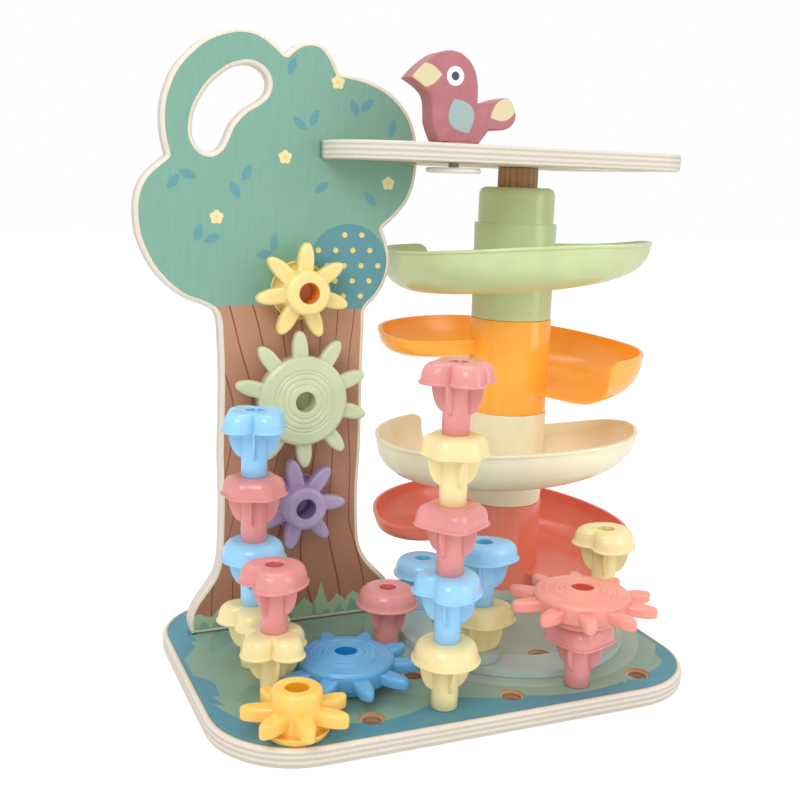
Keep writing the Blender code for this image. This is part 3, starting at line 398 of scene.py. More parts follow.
@dataclass(frozen=True)
class TreePrint:
    """A tree printed in matt inks on the panel's faces: a leafy crown, a grained trunk and grass.

    Leaves are given by x, height and turn, blossoms by x and height, and bushes by x, height and radius, in
    millimetres and degrees. The crown's foot runs in waves between two heights.
    """

    crown: str = "#7eab98"
    crown_shade: str = "#79a795"
    leaf: str = "#5f9aa2"
    blossom: str = "#ecdfa3"
    bush: str = "#5a939c"
    berry: str = "#ead07a"
    bark: str = "#bd8c6f"
    bark_low: str = "#a5735b"
    grain: str = "#8a4a33"
    grass: str = "#7ba08a"
    grass_light: str = "#9db592"
    leaves: tuple = (
        (-156.0, 322.0, 50.0),
        (-147.0, 327.0, -20.0),
        (-140.0, 290.0, 75.0),
        (-131.0, 286.0, 20.0),
        (-116.0, 318.0, 120.0),
        (-108.0, 329.0, 60.0),
        (-96.0, 276.0, 15.0),
        (-89.0, 284.0, 80.0),
        (-72.0, 362.0, 140.0),
        (-62.0, 366.0, 65.0),
        (-56.0, 321.0, 35.0),
        (-34.0, 374.0, 110.0),
        (-25.0, 376.0, 45.0),
        (-21.0, 314.0, 130.0),
        (-78.0, 398.0, 70.0),
        (-6.0, 362.0, 80.0),
    )
    blossoms: tuple = ((-128.0, 300.0), (-82.0, 340.0), (-46.0, 390.0), (-8.0, 325.0))
    bushes: tuple = ((-36.0, 268.0, 29.0), (-20.0, 256.0, 25.0))
    bush_rim: float = 2.8
    crown_foot: tuple = (238.5 * MM, 242.5 * MM)
    trunk_middle: float = -74.0 * MM
    grain_gap: float = 6.6 * MM
    grain_width: float = 0.42 * MM

    def material(self, name: str) -> bpy.types.Material:
        """Makes the material.

        Args:
            name: The material's name.

        Returns:
            The material.
        """
        graph = material_graph(name)
        # The wood shows faintly through the ink.
        veil = graph.noise(graph.stretched((420.0, 420.0, 24.0)), 1.6, 3.0)
        green = graph.ramp(veil, [(0.35, self.crown_shade), (0.65, self.crown)])
        paint = Painter(graph, Axis.Y, green)
        self.berries(paint)
        for x, up, turn in self.leaves:
            paint.lay(paint.leaf(x, up, 12.5, 5.8, turn), self.leaf)
        for x, up in self.blossoms:
            for turn in np.radians(90.0 + 72.0 * np.arange(5)).tolist():
                paint.lay(paint.disc(x + 2.6 * math.cos(turn), up + 2.6 * math.sin(turn), 2.1), self.blossom)
            paint.lay(paint.disc(x, up, 1.2), self.berry)
        self.trunk(graph, paint)
        return satin(graph, paint.colour, 0.48)

    def berries(self, paint: Painter) -> None:
        """Lays the round bushes with berries in staggered rows.

        Args:
            paint: The painter of the print.
        """
        for bush in self.bushes:
            paint.lay(paint.disc(*bush), self.bush)
        for row in range(5):
            for column in range(5):
                spot = (-64.0 + 12.5 * column + 6.25 * (row % 2), 247.5 + 10.5 * row)
                if any(math.dist(spot, bush[:2]) < bush[2] - self.bush_rim for bush in self.bushes):
                    paint.lay(paint.disc(*spot, 1.9), self.berry)

    def trunk(self, graph: Graph, paint: Painter) -> None:
        """Lays the bark with its grain lines, and the grass at its foot.

        Args:
            graph: The material's graph.
            paint: The painter of the print.
        """
        height = graph.carried(paint.up, (0.0, 1.0), (0.02, 0.23))
        bark = graph.ramp(height, [(0.0, self.bark_low), (1.0, self.bark)])
        wave = graph.math("SINE", graph.math("MULTIPLY", paint.x, 46.0))
        under = paint.below(paint.up, graph.carried(wave, self.crown_foot, (-1.0, 1.0)))
        paint.lay(under, bark)
        # Dark lines about 13 mm apart that wander and spread out with the foot of the trunk.
        spread = graph.carried(paint.up, (0.72, 1.0), (0.012, 0.085))
        narrow = graph.math("MULTIPLY", graph.math("SUBTRACT", paint.x, self.trunk_middle), spread)
        drift = graph.carried(graph.noise(paint.place, 9.0, 0.0), (-0.022, 0.022))
        lines = graph.math("PINGPONG", graph.math("ADD", narrow, drift), self.grain_gap)
        paint.lay_within(paint.below(lines, self.grain_width), under, self.grain)
        for ink, low, tall, pitch, offset in (
            (self.grass_light, 24.0 * MM, 17.0 * MM, 6.2 * MM, 0.0),
            (self.grass, 15.0 * MM, 20.0 * MM, 5.0 * MM, 2.1 * MM),
        ):
            blade = graph.math("PINGPONG", graph.math("ADD", paint.x, offset + 1.0), pitch)
            share = graph.math("DIVIDE", blade, pitch)
            tuft = {"Vector": paint.place, "Scale": 34.0, "W": offset}
            reach = graph.add("TexNoise", tuft, noise_dimensions="4D")
            rise = graph.math("MULTIPLY", share, graph.carried(reach, (0.0, tall), (0.35, 0.65)))
            paint.lay(paint.below(paint.up, graph.math("ADD", rise, low)), ink)


@dataclass(frozen=True)
class MeadowPrint:
    """A meadow printed in matt inks on the base: water round the edge, grass within it and a pale pond."""

    water: str = "#4c8a9d"
    water_light: str = "#57919f"
    grass: str = "#84a390"
    grass_dark: str = "#779b88"
    ripple: str = "#a7b9ab"
    ripple_wide: str = "#8fa997"
    half_length: float = 164.4 * MM
    half_width: float = 117.8 * MM
    corner: float = 56.6 * MM
    pond_from: float = 6.0 * MM
    grass_from: float = 20.0 * MM
    patches_from: float = 34.0 * MM
    blade_pitch: float = 4.2 * MM
    blade_slope: float = 1.9
    blade_slant: tuple = (1.0, 0.55, 0.0)
    pond: tuple = (70.8, -2.0)
    pond_radii: tuple = (104.0, 92.0)

    def material(self, name: str) -> bpy.types.Material:
        """Makes the material.

        Args:
            name: The material's name.

        Returns:
            The material.
        """
        graph = material_graph(name)
        veil = graph.noise(graph.stretched((24.0, 420.0, 24.0)), 1.6, 3.0)
        blue = graph.ramp(veil, [(0.30, self.water), (0.75, self.water_light)])
        paint = Painter(graph, Axis.Z, blue)
        edge = self.from_edge(graph, paint)
        bays = graph.carried(graph.noise(paint.place, 15.0, 0.0), (-0.012, 0.014), (0.3, 0.7))
        shore = graph.math("ADD", edge, bays)
        # Blades of grass stand out over the water along part of the shore.
        along = {0: paint.place, 1: self.blade_slant}
        slant = graph.add("VectorMath", along, out="Value", operation="DOT_PRODUCT")
        stretch = {"Vector": paint.place, "Scale": 13.0, "W": 4.0}
        where = graph.add("TexNoise", stretch, noise_dimensions="4D")
        chosen = graph.math("GREATER_THAN", where, 0.54)
        blades = graph.math("MULTIPLY", graph.math("PINGPONG", slant, self.blade_pitch), chosen)
        inland = graph.math("ADD", shore, graph.math("MULTIPLY", blades, self.blade_slope))
        paint.lay(graph.math("GREATER_THAN", inland, self.grass_from), self.grass)
        patch = graph.math("GREATER_THAN", graph.noise(paint.place, 26.0, 0.0), 0.60)
        paint.lay_within(patch, graph.math("GREATER_THAN", inland, self.patches_from), self.grass_dark)
        inside = graph.math("GREATER_THAN", edge, self.pond_from)
        for radius, ink in zip(self.pond_radii, (self.ripple_wide, self.ripple)):
            paint.lay_within(paint.disc(*self.pond, radius), inside, ink)
        return satin(graph, paint.colour, 0.45)

    def from_edge(self, graph: Graph, paint: Painter) -> Socket:
        """Distance in from the base's rounded outline, in metres.

        The distance is the corner radius less the length of the part of (|x| - half length + corner,
        |y| - half width + corner) that is above zero.

        Args:
            graph: The material's graph.
            paint: The painter of the print.

        Returns:
            The socket of the distance.
        """
        size = graph.add("VectorMath", {0: paint.place}, operation="ABSOLUTE")
        inner = (self.half_length - self.corner, self.half_width - self.corner, 0.0)
        past = graph.add("VectorMath", {0: size, 1: inner}, operation="SUBTRACT")
        over = graph.add("VectorMath", {0: past, 1: (0.0, 0.0, 0.0)}, operation="MAXIMUM")
        away = graph.add("VectorMath", {0: over}, out="Value", operation="LENGTH")
        return graph.math("SUBTRACT", self.corner, away)


@dataclass(frozen=True)
class BirdPaint:
    """Sprayed matt lacquer on wood, with plain shapes printed on the front: beak, eye, wing and tail."""

    body: str = "#b9747a"
    body_shade: str = "#ae6b70"
    cream: str = "#dccfa4"
    wing: str = "#9fb4b4"
    eye: str = "#f3eee8"
    pupil: str = "#3c4a5c"

    def material(self, name: str, front: float) -> bpy.types.Material:
        """Makes the material.

        Args:
            name: The material's name.
            front: Y of the bird's front face.

        Returns:
            The material.
        """
        graph = material_graph(name)
        mottle = graph.noise(graph.place(), 120.0, 3.0)
        pink = graph.ramp(mottle, [(0.35, self.body_shade), (0.65, self.body)])
        paint = Painter(graph, Axis.Y, pink)
        depth = graph.add("SeparateXYZ", {"Vector": graph.place()}, out=1)
        is_front = paint.below(depth, front + 0.4 * MM)
        shapes = (
            (paint.leaf(-3.0, 394.5, 25.0, 15.0, 4.0), self.cream),
            (paint.leaf(24.5, 370.0, 24.0, 19.0, 118.0), self.wing),
            (paint.leaf(56.0, 375.5, 23.0, 13.5, 28.0), self.cream),
            (paint.disc(19.0, 395.0, 6.2), self.eye),
            (paint.disc(19.0, 395.0, 2.8), self.pupil),
        )
        for mask, ink in shapes:
            paint.lay_within(mask, is_front, ink)
        return satin(graph, paint.colour, 0.45)


@dataclass(frozen=True)
class OiledPine:
    """Oiled pine of the post: warm brown with darker late wood running up it."""

    early: str = "#b98a60"
    late: str = "#9c6d45"

    def material(self, name: str) -> bpy.types.Material:
        """Makes the material.

        Args:
            name: The material's name.

        Returns:
            The material.
        """
        graph = material_graph(name)
        # Growth rings about 3 mm apart, stretched along the grain.
        rings = graph.noise(graph.stretched((300.0, 300.0, 9.0)), 1.1, 3.0, Roughness=0.55)
        return satin(graph, graph.ramp(rings, [(0.38, self.late), (0.60, self.early)]), 0.5)


@dataclass(frozen=True)
class PlatedSteel:
    """Zinc-plated steel of the screws: a grey metal with a slightly cloudy gloss."""

    colour: str = "#b9bcbf"

    def material(self, name: str) -> bpy.types.Material:
        """Makes the material.

        Args:
            name: The material's name.

        Returns:
            The material.
        """
        graph = material_graph(name)
        rough = graph.carried(graph.noise(graph.place(), 500.0, 2.0), (0.25, 0.42))
        look = {"Base Color": linear(self.colour), "Metallic": 1.0, "Roughness": rough}
        return graph.finish(graph.add("BsdfPrincipled", look))


PLASTICS = {
    # The glow values given below raise the painted glow, in the plastic's own colour, of the lilac, orange,
    # ivory and coral ramp plastics.
    "amber_plastic": MouldedPlastic("#fbca68", "#f8c25c"),
    "gear_blue_plastic": MouldedPlastic("#62a6d6", "#5a9dce"),
    "coral_plastic": MouldedPlastic("#ec9a8c", "#e59184"),
    "yellow_plastic": MouldedPlastic("#efdfa6", "#ead79b"),
    "leaf_plastic": MouldedPlastic("#cad7a3", "#c3d09a"),
    "lilac_plastic": MouldedPlastic("#ab98bb", "#a28eb2", painted_glow=0.08),
    "orange_plastic": MouldedPlastic("#fdae40", "#faa634", painted_glow=0.13),
    "ivory_plastic": MouldedPlastic("#f0e9ca", "#ebe2c0", painted_glow=0.06),
    "sky_plastic": MouldedPlastic("#99d0f5", "#8fc8f1"),
    "pink_plastic": MouldedPlastic("#e09492", "#d98b89"),
    "pale_blue_plastic": MouldedPlastic("#b2c4be", "#a9bcb6", roughness=0.38),
    "white_plastic": MouldedPlastic("#e9e7e0", "#e2dfd7", roughness=0.36),
    "ramp_coral": MouldedPlastic("#e67f68", "#e0765f", painted_glow=0.10),
    "gear_wall_green": MouldedPlastic("#ccd4ae", "#c5cda5"),
    # Orange painted reflection and shade down the yellow gear's bore.
    "gear_wall_yellow": MouldedPlastic("#f3dc94", "#eed489", painted_bore_shade="#e8963c"),
}


class Cap(Enum):
    """How the two ends of a shell are closed."""

    POINT = "point"
    FLAT = "flat"
    LOOP = "loop"


@dataclass
class Shell:
    """A grid of points, rows by columns, whose columns close on themselves."""

    points: np.ndarray
    cap: Cap = Cap.POINT
    deep: int = 0

    def faces(self, first: int) -> tuple[np.ndarray, list[list[int]], list[int]]:
        """Points and faces of the shell, numbered from a first vertex.

        The last rows, as many as "deep" says, and the end after them have the second material, the painted
        bore shade.

        Args:
            first: The number of the shell's first vertex.

        Returns:
            All points, the faces as lists of vertex numbers, and their materials' numbers.
        """
        rows, columns = self.points.shape[:2]
        spots = self.points.reshape(-1, 3)
        row, column = np.meshgrid(np.arange(rows), np.arange(columns), indexing="ij")
        after = (column + 1) % columns
        start, end = row * columns, (row + 1) % rows * columns
        quads = np.stack([start + column, start + after, end + after, end + column], axis=-1)
        if self.cap is not Cap.LOOP:
            quads = quads[:-1]
        faces = (quads.reshape(-1, 4) + first).tolist()
        around = np.arange(columns)
        last = (rows - 1) * columns
        if self.cap is Cap.FLAT:
            faces += [(around[::-1] + first).tolist(), (around + last + first).tolist()]
        if self.cap is Cap.POINT:
            beside = (around + 1) % columns
            pole = np.full(columns, rows * columns)
            foot = np.stack([beside, around, pole], axis=-1)
            head = np.stack([around + last, beside + last, pole + 1], axis=-1)
            faces += (foot + first).tolist() + (head + first).tolist()
            spots = np.concatenate([spots, [self.points[0].mean(0), self.points[-1].mean(0)]])
        looks = np.zeros(len(faces), int)
        if self.deep:
            looks[last - self.deep * columns : last] = 1
            looks[-columns:] = 1
        return spots, faces, looks.tolist()


def lathe(profile: np.ndarray, columns: int, cap: Cap = Cap.POINT, deep: int = 0) -> Shell:
    """Turns a profile about Z: x = r cos a, y = r sin a, z = z.

    Args:
        profile: Radius and height of each row.
        columns: The number of points round the axis.
        cap: How the ends are closed.
        deep: How many rows at the end have the second material, the painted bore shade.

    Returns:
        The shell.
    """
    turn = np.linspace(0.0, 2.0 * math.pi, columns, endpoint=False)
    radius, height = profile[:, :1], profile[:, 1:]
    points = [radius * np.cos(turn), radius * np.sin(turn), np.broadcast_to(height, (len(profile), columns))]
    return Shell(np.stack(points, axis=-1), cap, deep)


def corner(centre: tuple, radius: float, start: float, end: float, steps: int = 5) -> np.ndarray:
    """Points of an arc in a profile: centre + radius (cos a, sin a), from one angle in degrees to another."""
    turn = np.radians(np.linspace(start, end, steps))
    return np.stack([centre[0] + radius * np.cos(turn), centre[1] + radius * np.sin(turn)], axis=-1)


def turned(degrees: float, axis: str = "Z") -> Matrix:
    """A turn about an axis through the origin."""
    return Matrix.Rotation(math.radians(degrees), 4, axis)


def placed(shell: Shell, matrix: Matrix) -> Shell:
    """The shell carried to its place by a matrix."""
    turn = np.array(matrix.to_3x3())
    return Shell(shell.points @ turn.T + np.array(matrix.translation), shell.cap, shell.deep)


def link(name: str, data: object) -> bpy.types.Object:
    """Makes an object of a mesh, a lamp or a camera and puts it in the scene.

    Args:
        name: The object's name.
        data: Its mesh, lamp or camera.

    Returns:
        The object.
    """
    made = bpy.data.objects.new(name, data)
    bpy.context.scene.collection.objects.link(made)
    return made


def mesh_of(name: str, work: bmesh.types.BMesh) -> bpy.types.Mesh:
    """Turns a working mesh into a mesh of that name and frees it.

    Args:
        name: The mesh's name.
        work: The working mesh.

    Returns:
        The mesh.
    """
    mesh = bpy.data.meshes.new(name)
    work.to_mesh(mesh)
    work.free()
    return mesh


def finished(name: str, mesh: bpy.types.Mesh, looks: list, sharp: float) -> bpy.types.Object:
    """Shades a mesh smooth between its sharp edges, gives it materials and links it in an object.

    Args:
        name: The object's name.
        mesh: Its mesh.
        looks: Its materials.
        sharp: Edges that turn by more than this many degrees stay crisp.

    Returns:
        The object.
    """
    for look in looks:
        mesh.materials.append(look)
    mesh.shade_smooth()
    mesh.set_sharp_from_angle(angle=math.radians(sharp))
    return link(name, mesh)


def piece(name: str, shells: list[Shell], looks: list[bpy.types.Material], sharp: float) -> bpy.types.Object:
    """Makes one piece of the model from closed shells.

    Args:
        name: The piece's name.
        shells: Its closed shells, in place.
        looks: Its materials: the first covers it, the second, a painted bore shade, its deep rows.
        sharp: Edges that turn by more than this many degrees stay crisp.

    Returns:
        The new object, at the origin.
    """
    spots: list[np.ndarray] = []
    faces: list[list[int]] = []
    numbers: list[int] = []
    count = 0
    for shell in shells:
        points, made, own = shell.faces(count)
        spots.append(points)
        faces += made
        numbers += own
        count += len(points)
    mesh = bpy.data.meshes.new(name)
    mesh.from_pydata(np.concatenate(spots).tolist(), [], faces)
    mesh.polygons.foreach_set("material_index", numbers)
    work = bmesh.new()
    work.from_mesh(mesh)
    bmesh.ops.remove_doubles(work, verts=work.verts, dist=1e-7)
    bmesh.ops.recalc_face_normals(work, faces=work.faces)
    work.to_mesh(mesh)
    work.free()
    return finished(name, mesh, looks, sharp)


class Workshop:
    """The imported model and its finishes: it puts each new piece on its body, in place of its node."""

    def __init__(self, frame: dict) -> None:
        """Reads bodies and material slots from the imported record, and makes the plastics.

        Args:
            frame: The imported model.
        """
        self.nodes = frame["nodes"]
        self.slots = {part["node"]: part["material_slot"] for part in frame["record"]["subparts"]}
        bodies = frame["record"]["behaviour"]["bodies"]
        self.bodies = {node: body for body, members in bodies.items() for node in members}
        self.plastics = {name: look.material(name) for name, look in PLASTICS.items()}
        # Each plastic's painted bore shade: a darker, deeper copy of it for bores and sockets.
        self.painted_bore_shades = {name: look.with_painted_bore_shade().material(name + "_recess") for name, look in PLASTICS.items()}

    def plastic(self, node: str) -> bpy.types.Material:
        """The moulded plastic of a node: its own shade, or the one that its slot names."""
        return self.plastics[node if node in self.plastics else self.slots[node]]

    def painted_bore_shade(self, node: str) -> bpy.types.Material:
        """The plastic's painted bore shade: the darker colour painted down a bore."""
        return self.painted_bore_shades[node if node in self.painted_bore_shades else self.slots[node]]

    def mount(self, made: bpy.types.Object, node: str) -> None:
        """Puts a piece on its node's body, in the node's place.

        Args:
            made: The piece.
            node: The node that it replaces.
        """
        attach(made, self.bodies[node])
        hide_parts(node)
        LOG.info("%s: %d faces", made.name, len(made.data.polygons))

    def mould(self, node: str, shells: list[Shell], sharp: float = CRISP_TURN) -> None:
        """Makes and mounts a moulded piece, with the deep rows of its shells in the painted bore shade.

        Args:
            node: The node that it replaces.
            shells: Its closed shells, in place.
            sharp: Edges that turn by more than this many degrees stay crisp.
        """
        looks = [self.plastic(node)]
        if any(shell.deep for shell in shells):
            looks.append(self.painted_bore_shade(node))
        self.mount(piece(node + "_moulding", shells, looks, sharp), node)

    def board(self, node: str, mesh: bpy.types.Mesh, looks: list, sharp: float = CRISP_TURN) -> None:
        """Finishes and mounts a flat wooden piece, whose broad faces stay flat with normals weighted by area.

        Args:
            node: The node that it replaces.
            mesh: Its mesh, which also names it.
            looks: Its materials.
            sharp: Edges that turn by more than this many degrees stay crisp.
        """
        made = finished(mesh.name, mesh, looks, sharp)
        modifier = made.modifiers.new("flat faces", "WEIGHTED_NORMAL")
        modifier.keep_sharp = True
        modifier.weight = 90
        self.mount(made, node)

    def copy(self, node: str) -> bmesh.types.BMesh:
        """A merged copy of a node's mesh, with its flat faces joined.

        Args:
            node: The node.

        Returns:
            The working mesh.
        """
        work = bmesh.new()
        work.from_mesh(self.nodes[node].data)
        bmesh.ops.remove_doubles(work, verts=work.verts, dist=2e-6)
        bmesh.ops.dissolve_limit(work, angle_limit=math.radians(0.4), verts=work.verts, edges=work.edges)
        return work


class HeadShape(Enum):
    """Outline of a peg's head, seen from above."""

    ROUND = "round"
    CLOVER = "clover"
    HEXAGON = "hexagon"
    SQUARE = "square"
    HEART = "heart"
    DROP = "drop"


@dataclass(frozen=True)
class PegPlace:
    """One peg: its node, its hole, its place in the stack, its head and how its head and fins are turned."""

    node: str
    column: int
    row: int
    level: int
    head: HeadShape
    turn: float
    fin_turn: float


@dataclass
class StackingPegs:
    """The stacking pegs: each has a domed head on a thin lip, four fins, a stem, a spigot and a socket."""

    hole_pitch: float = 47.2 * MM
    first_row: float = -94.2 * MM
    middle_column: float = 2.5
    seat: float = 12.3 * MM
    height: float = 42.8 * MM
    stem: float = 8.3 * MM
    spigot: float = 5.35 * MM
    spigot_length: float = 10.0 * MM
    spigot_nose: float = 0.8 * MM
    socket: float = 5.65 * MM
    socket_depth: float = 10.8 * MM
    head: float = 19.8 * MM
    lip_height: float = 30.2 * MM
    lip_thickness: float = 1.6 * MM
    lip_width: float = 1.4 * MM
    soft_edge: float = 0.35 * MM
    top_inset: float = 8.4 * MM
    dome_power: float = 2 / 2.7
    fin_foot: float = 12.0 * MM
    fin_reach: float = 16.5 * MM
    fin_root: float = 7.8 * MM
    fin_thickness: float = 1.4 * MM
    fin_rows: int = 18
    columns: int = 96
    places: tuple = (
        PegPlace("peg_a1_yellow", 0, 2, 1, HeadShape.CLOVER, 160.0, 66.0),
        PegPlace("peg_a2_blue", 0, 2, 2, HeadShape.ROUND, 0.0, 60.0),
        PegPlace("peg_a3_pink", 0, 2, 3, HeadShape.HEXAGON, 40.0, 67.0),
        PegPlace("peg_a4_blue", 0, 2, 4, HeadShape.CLOVER, 25.0, 73.0),
        PegPlace("peg_b1_yellow", 0, 1, 1, HeadShape.CLOVER, 25.0, 85.0),
        PegPlace("peg_b2_pink", 0, 1, 2, HeadShape.HEART, 15.0, 39.0),
        PegPlace("peg_c1_yellow", 2, 0, 1, HeadShape.ROUND, 0.0, 83.0),
        PegPlace("peg_c2_blue", 2, 0, 2, HeadShape.HEART, 20.0, 55.0),
        PegPlace("peg_c3_pink", 2, 0, 3, HeadShape.SQUARE, 75.0, 40.0),
        PegPlace("peg_c4_yellow", 2, 0, 4, HeadShape.HEXAGON, 40.0, 82.0),
        PegPlace("peg_c5_pink", 2, 0, 5, HeadShape.CLOVER, 0.0, 42.0),
        PegPlace("peg_d1_yellow", 3, 1, 1, HeadShape.DROP, -10.0, 39.0),
        PegPlace("peg_d2_blue", 3, 1, 2, HeadShape.DROP, -10.0, 55.0),
        PegPlace("peg_e1_pink", 2, 2, 1, HeadShape.ROUND, 0.0, 27.0),
        PegPlace("peg_f1_blue", 3, 3, 1, HeadShape.ROUND, 0.0, 45.0),
        PegPlace("peg_g1_pink", 4, 0, 1, HeadShape.SQUARE, 63.0, 34.0),
        PegPlace("peg_h1_yellow", 5, 1, 1, HeadShape.ROUND, 0.0, 45.0),
        PegPlace("peg_h2_yellow", 5, 1, 2, HeadShape.HEART, 15.0, 55.0),
    )

    def outline(self, shape: HeadShape) -> np.ndarray:
        """Radius of the head round its axis.

        A head is its radius times a constant plus a power of (1 + cos(n a)) / 2 for n lobes or corners,
        or plus bumps exp(-(away / width) ^ 2) for a heart and a drop.

        Args:
            shape: The head's shape.

        Returns:
            One radius for each column.
        """
        angle = np.linspace(0.0, 360.0, self.columns, endpoint=False)

        def bump(centre: float, width: float) -> np.ndarray:
            """One rounded bump in the outline."""
            away = (angle - centre + 180.0) % 360.0 - 180.0
            return np.exp(-((away / width) ** 2))

        def lobes(count: int, power: float) -> np.ndarray:
            """Evenly spaced lobes."""
            return (0.5 + 0.5 * np.cos(np.radians(count * angle))) ** power

        heart = 0.94 + 0.10 * bump(0, 40) + 0.14 * (bump(130, 34) + bump(-130, 34)) - 0.28 * bump(180, 20)
        parts = {
            HeadShape.ROUND: np.ones(self.columns),
            HeadShape.CLOVER: 0.70 + 0.44 * lobes(4, 0.45),
            HeadShape.HEXAGON: 0.91 + 0.10 * lobes(6, 1.2),
            HeadShape.SQUARE: 0.90 + 0.20 * lobes(4, 1.5),
            HeadShape.HEART: heart,
            HeadShape.DROP: 0.83 + 0.34 * bump(0, 34),
        }
        return self.head * parts[shape]

    def core(self, shape: HeadShape) -> Shell:
        """The peg without its fins, as one skin from the foot of its spigot to the floor of its socket.

        Each row has radius circle + keep (outline - head radius) + grow. The dome is a quarter of a
        superellipse: inset = top inset (1 - cos(u) ^ p), height = dome sin(u) ^ p.

        Args:
            shape: The head's shape.

        Returns:
            The shell.
        """
        spigot, nose, end = self.spigot, self.spigot_nose, -self.spigot_length
        stem, head, lip, soft = self.stem, self.head, self.lip_height, self.soft_edge
        brim, over, top = head + self.lip_width, lip + self.lip_thickness, self.height
        rows = [(spigot - nose, end, 0.0), (spigot, end + nose, 0.0), (spigot, 0.0, 0.0)]
        rows += [(stem - soft, 0.0, 0.0), (stem, soft, 0.0)]
        rows += [(stem, height * MM, 0.0) for height in (10.0, 20.0, 28.0)]
        rows += [(stem + 0.4 * MM, lip - 0.7 * MM, 0.0), (stem + 1.4 * MM, lip, 0.0)]
        rows += [(brim - 3.0 * MM, lip, 1.0), (brim - soft, lip, 1.0), (brim, lip + soft, 1.0)]
        rows += [(brim, over - soft, 1.0), (brim - soft, over, 1.0), (head + 0.45 * MM, over, 1.0)]
        for turn in np.radians(np.linspace(3.0, 90.0, 16)):
            share = 1.0 - math.cos(turn) ** self.dome_power
            rise = (top - over) * math.sin(turn) ** self.dome_power
            rows.append((head - self.top_inset * share, over + rise, 1.0 - 0.45 * share))
        rows += [(self.socket + 1.6 * MM, top, 0.0), (self.socket + 0.5 * MM, top - 0.05 * MM, 0.0)]
        rows += [(self.socket, top - 0.5 * MM, 0.0), (self.socket, top - self.socket_depth, 0.0)]
        table = np.array(rows)
        turn = np.linspace(0.0, 2.0 * math.pi, self.columns, endpoint=False)
        radius = table[:, :1] + table[:, 2:] * (self.outline(shape) - head)
        height = np.broadcast_to(table[:, 1:2], radius.shape)
        # The socket's wall and floor take the painted bore shade.
        return Shell(np.stack([radius * np.cos(turn), radius * np.sin(turn), height], axis=-1), deep=1)

    def fin(self, turn: float) -> Shell:
        """A thin fin, whose edge runs out from the stem by sin(v) as it climbs by 1 - cos(v).

        The angle v runs from 0 to 90 degrees.

        Args:
            turn: The fin's direction in degrees.

        Returns:
            The shell.
        """
        sweep = np.radians(np.linspace(0.0, 90.0, self.fin_rows))
        reach = self.fin_root + (self.fin_reach - self.fin_root) * np.sin(sweep)
        top = self.lip_height + self.lip_thickness / 2
        height = top - (top - self.fin_foot) * np.cos(sweep)
        half = self.fin_thickness / 2
        inner = np.full(self.fin_rows, self.stem - 2.0 * MM)
        shoulder = reach - 0.6 * half
        out = np.stack([inner, shoulder, reach, reach, shoulder, inner], axis=-1)
        side = half * np.array([-1.0, -1.0, -0.45, 0.45, 1.0, 1.0])
        cos, sin = math.cos(math.radians(turn)), math.sin(math.radians(turn))
        level = np.broadcast_to(height[:, None], out.shape)
        return Shell(np.stack([out * cos - side * sin, out * sin + side * cos, level], axis=-1), Cap.FLAT)

    def build(self, shop: Workshop) -> None:
        """Makes every peg in its place.

        Args:
            shop: The workshop.
        """
        for place in self.places:
            x = (place.column - self.middle_column) * self.hole_pitch
            y = self.first_row + place.row * self.hole_pitch
            z = self.seat + (place.level - 1) * self.height
            shells = [placed(self.core(place.head), turned(place.turn))]
            shells += [self.fin(place.fin_turn + 90.0 * step) for step in range(4)]
            shop.mould(place.node, [placed(shell, Matrix.Translation((x, y, z))) for shell in shells])


@dataclass(frozen=True)
class ToothRing:
    """A ring of teeth: their number, radii of roots and tips, width at the root, underside and height."""

    count: int
    root: float
    tip: float
    width: float
    foot: float
    height: float


@dataclass(frozen=True)
class GearPlace:
    """One gear: its node, its size, its seat, the direction of a tooth, and whether it stands upright."""

    node: str
    large: bool
    seat: tuple
    tooth_at: float
    upright: bool


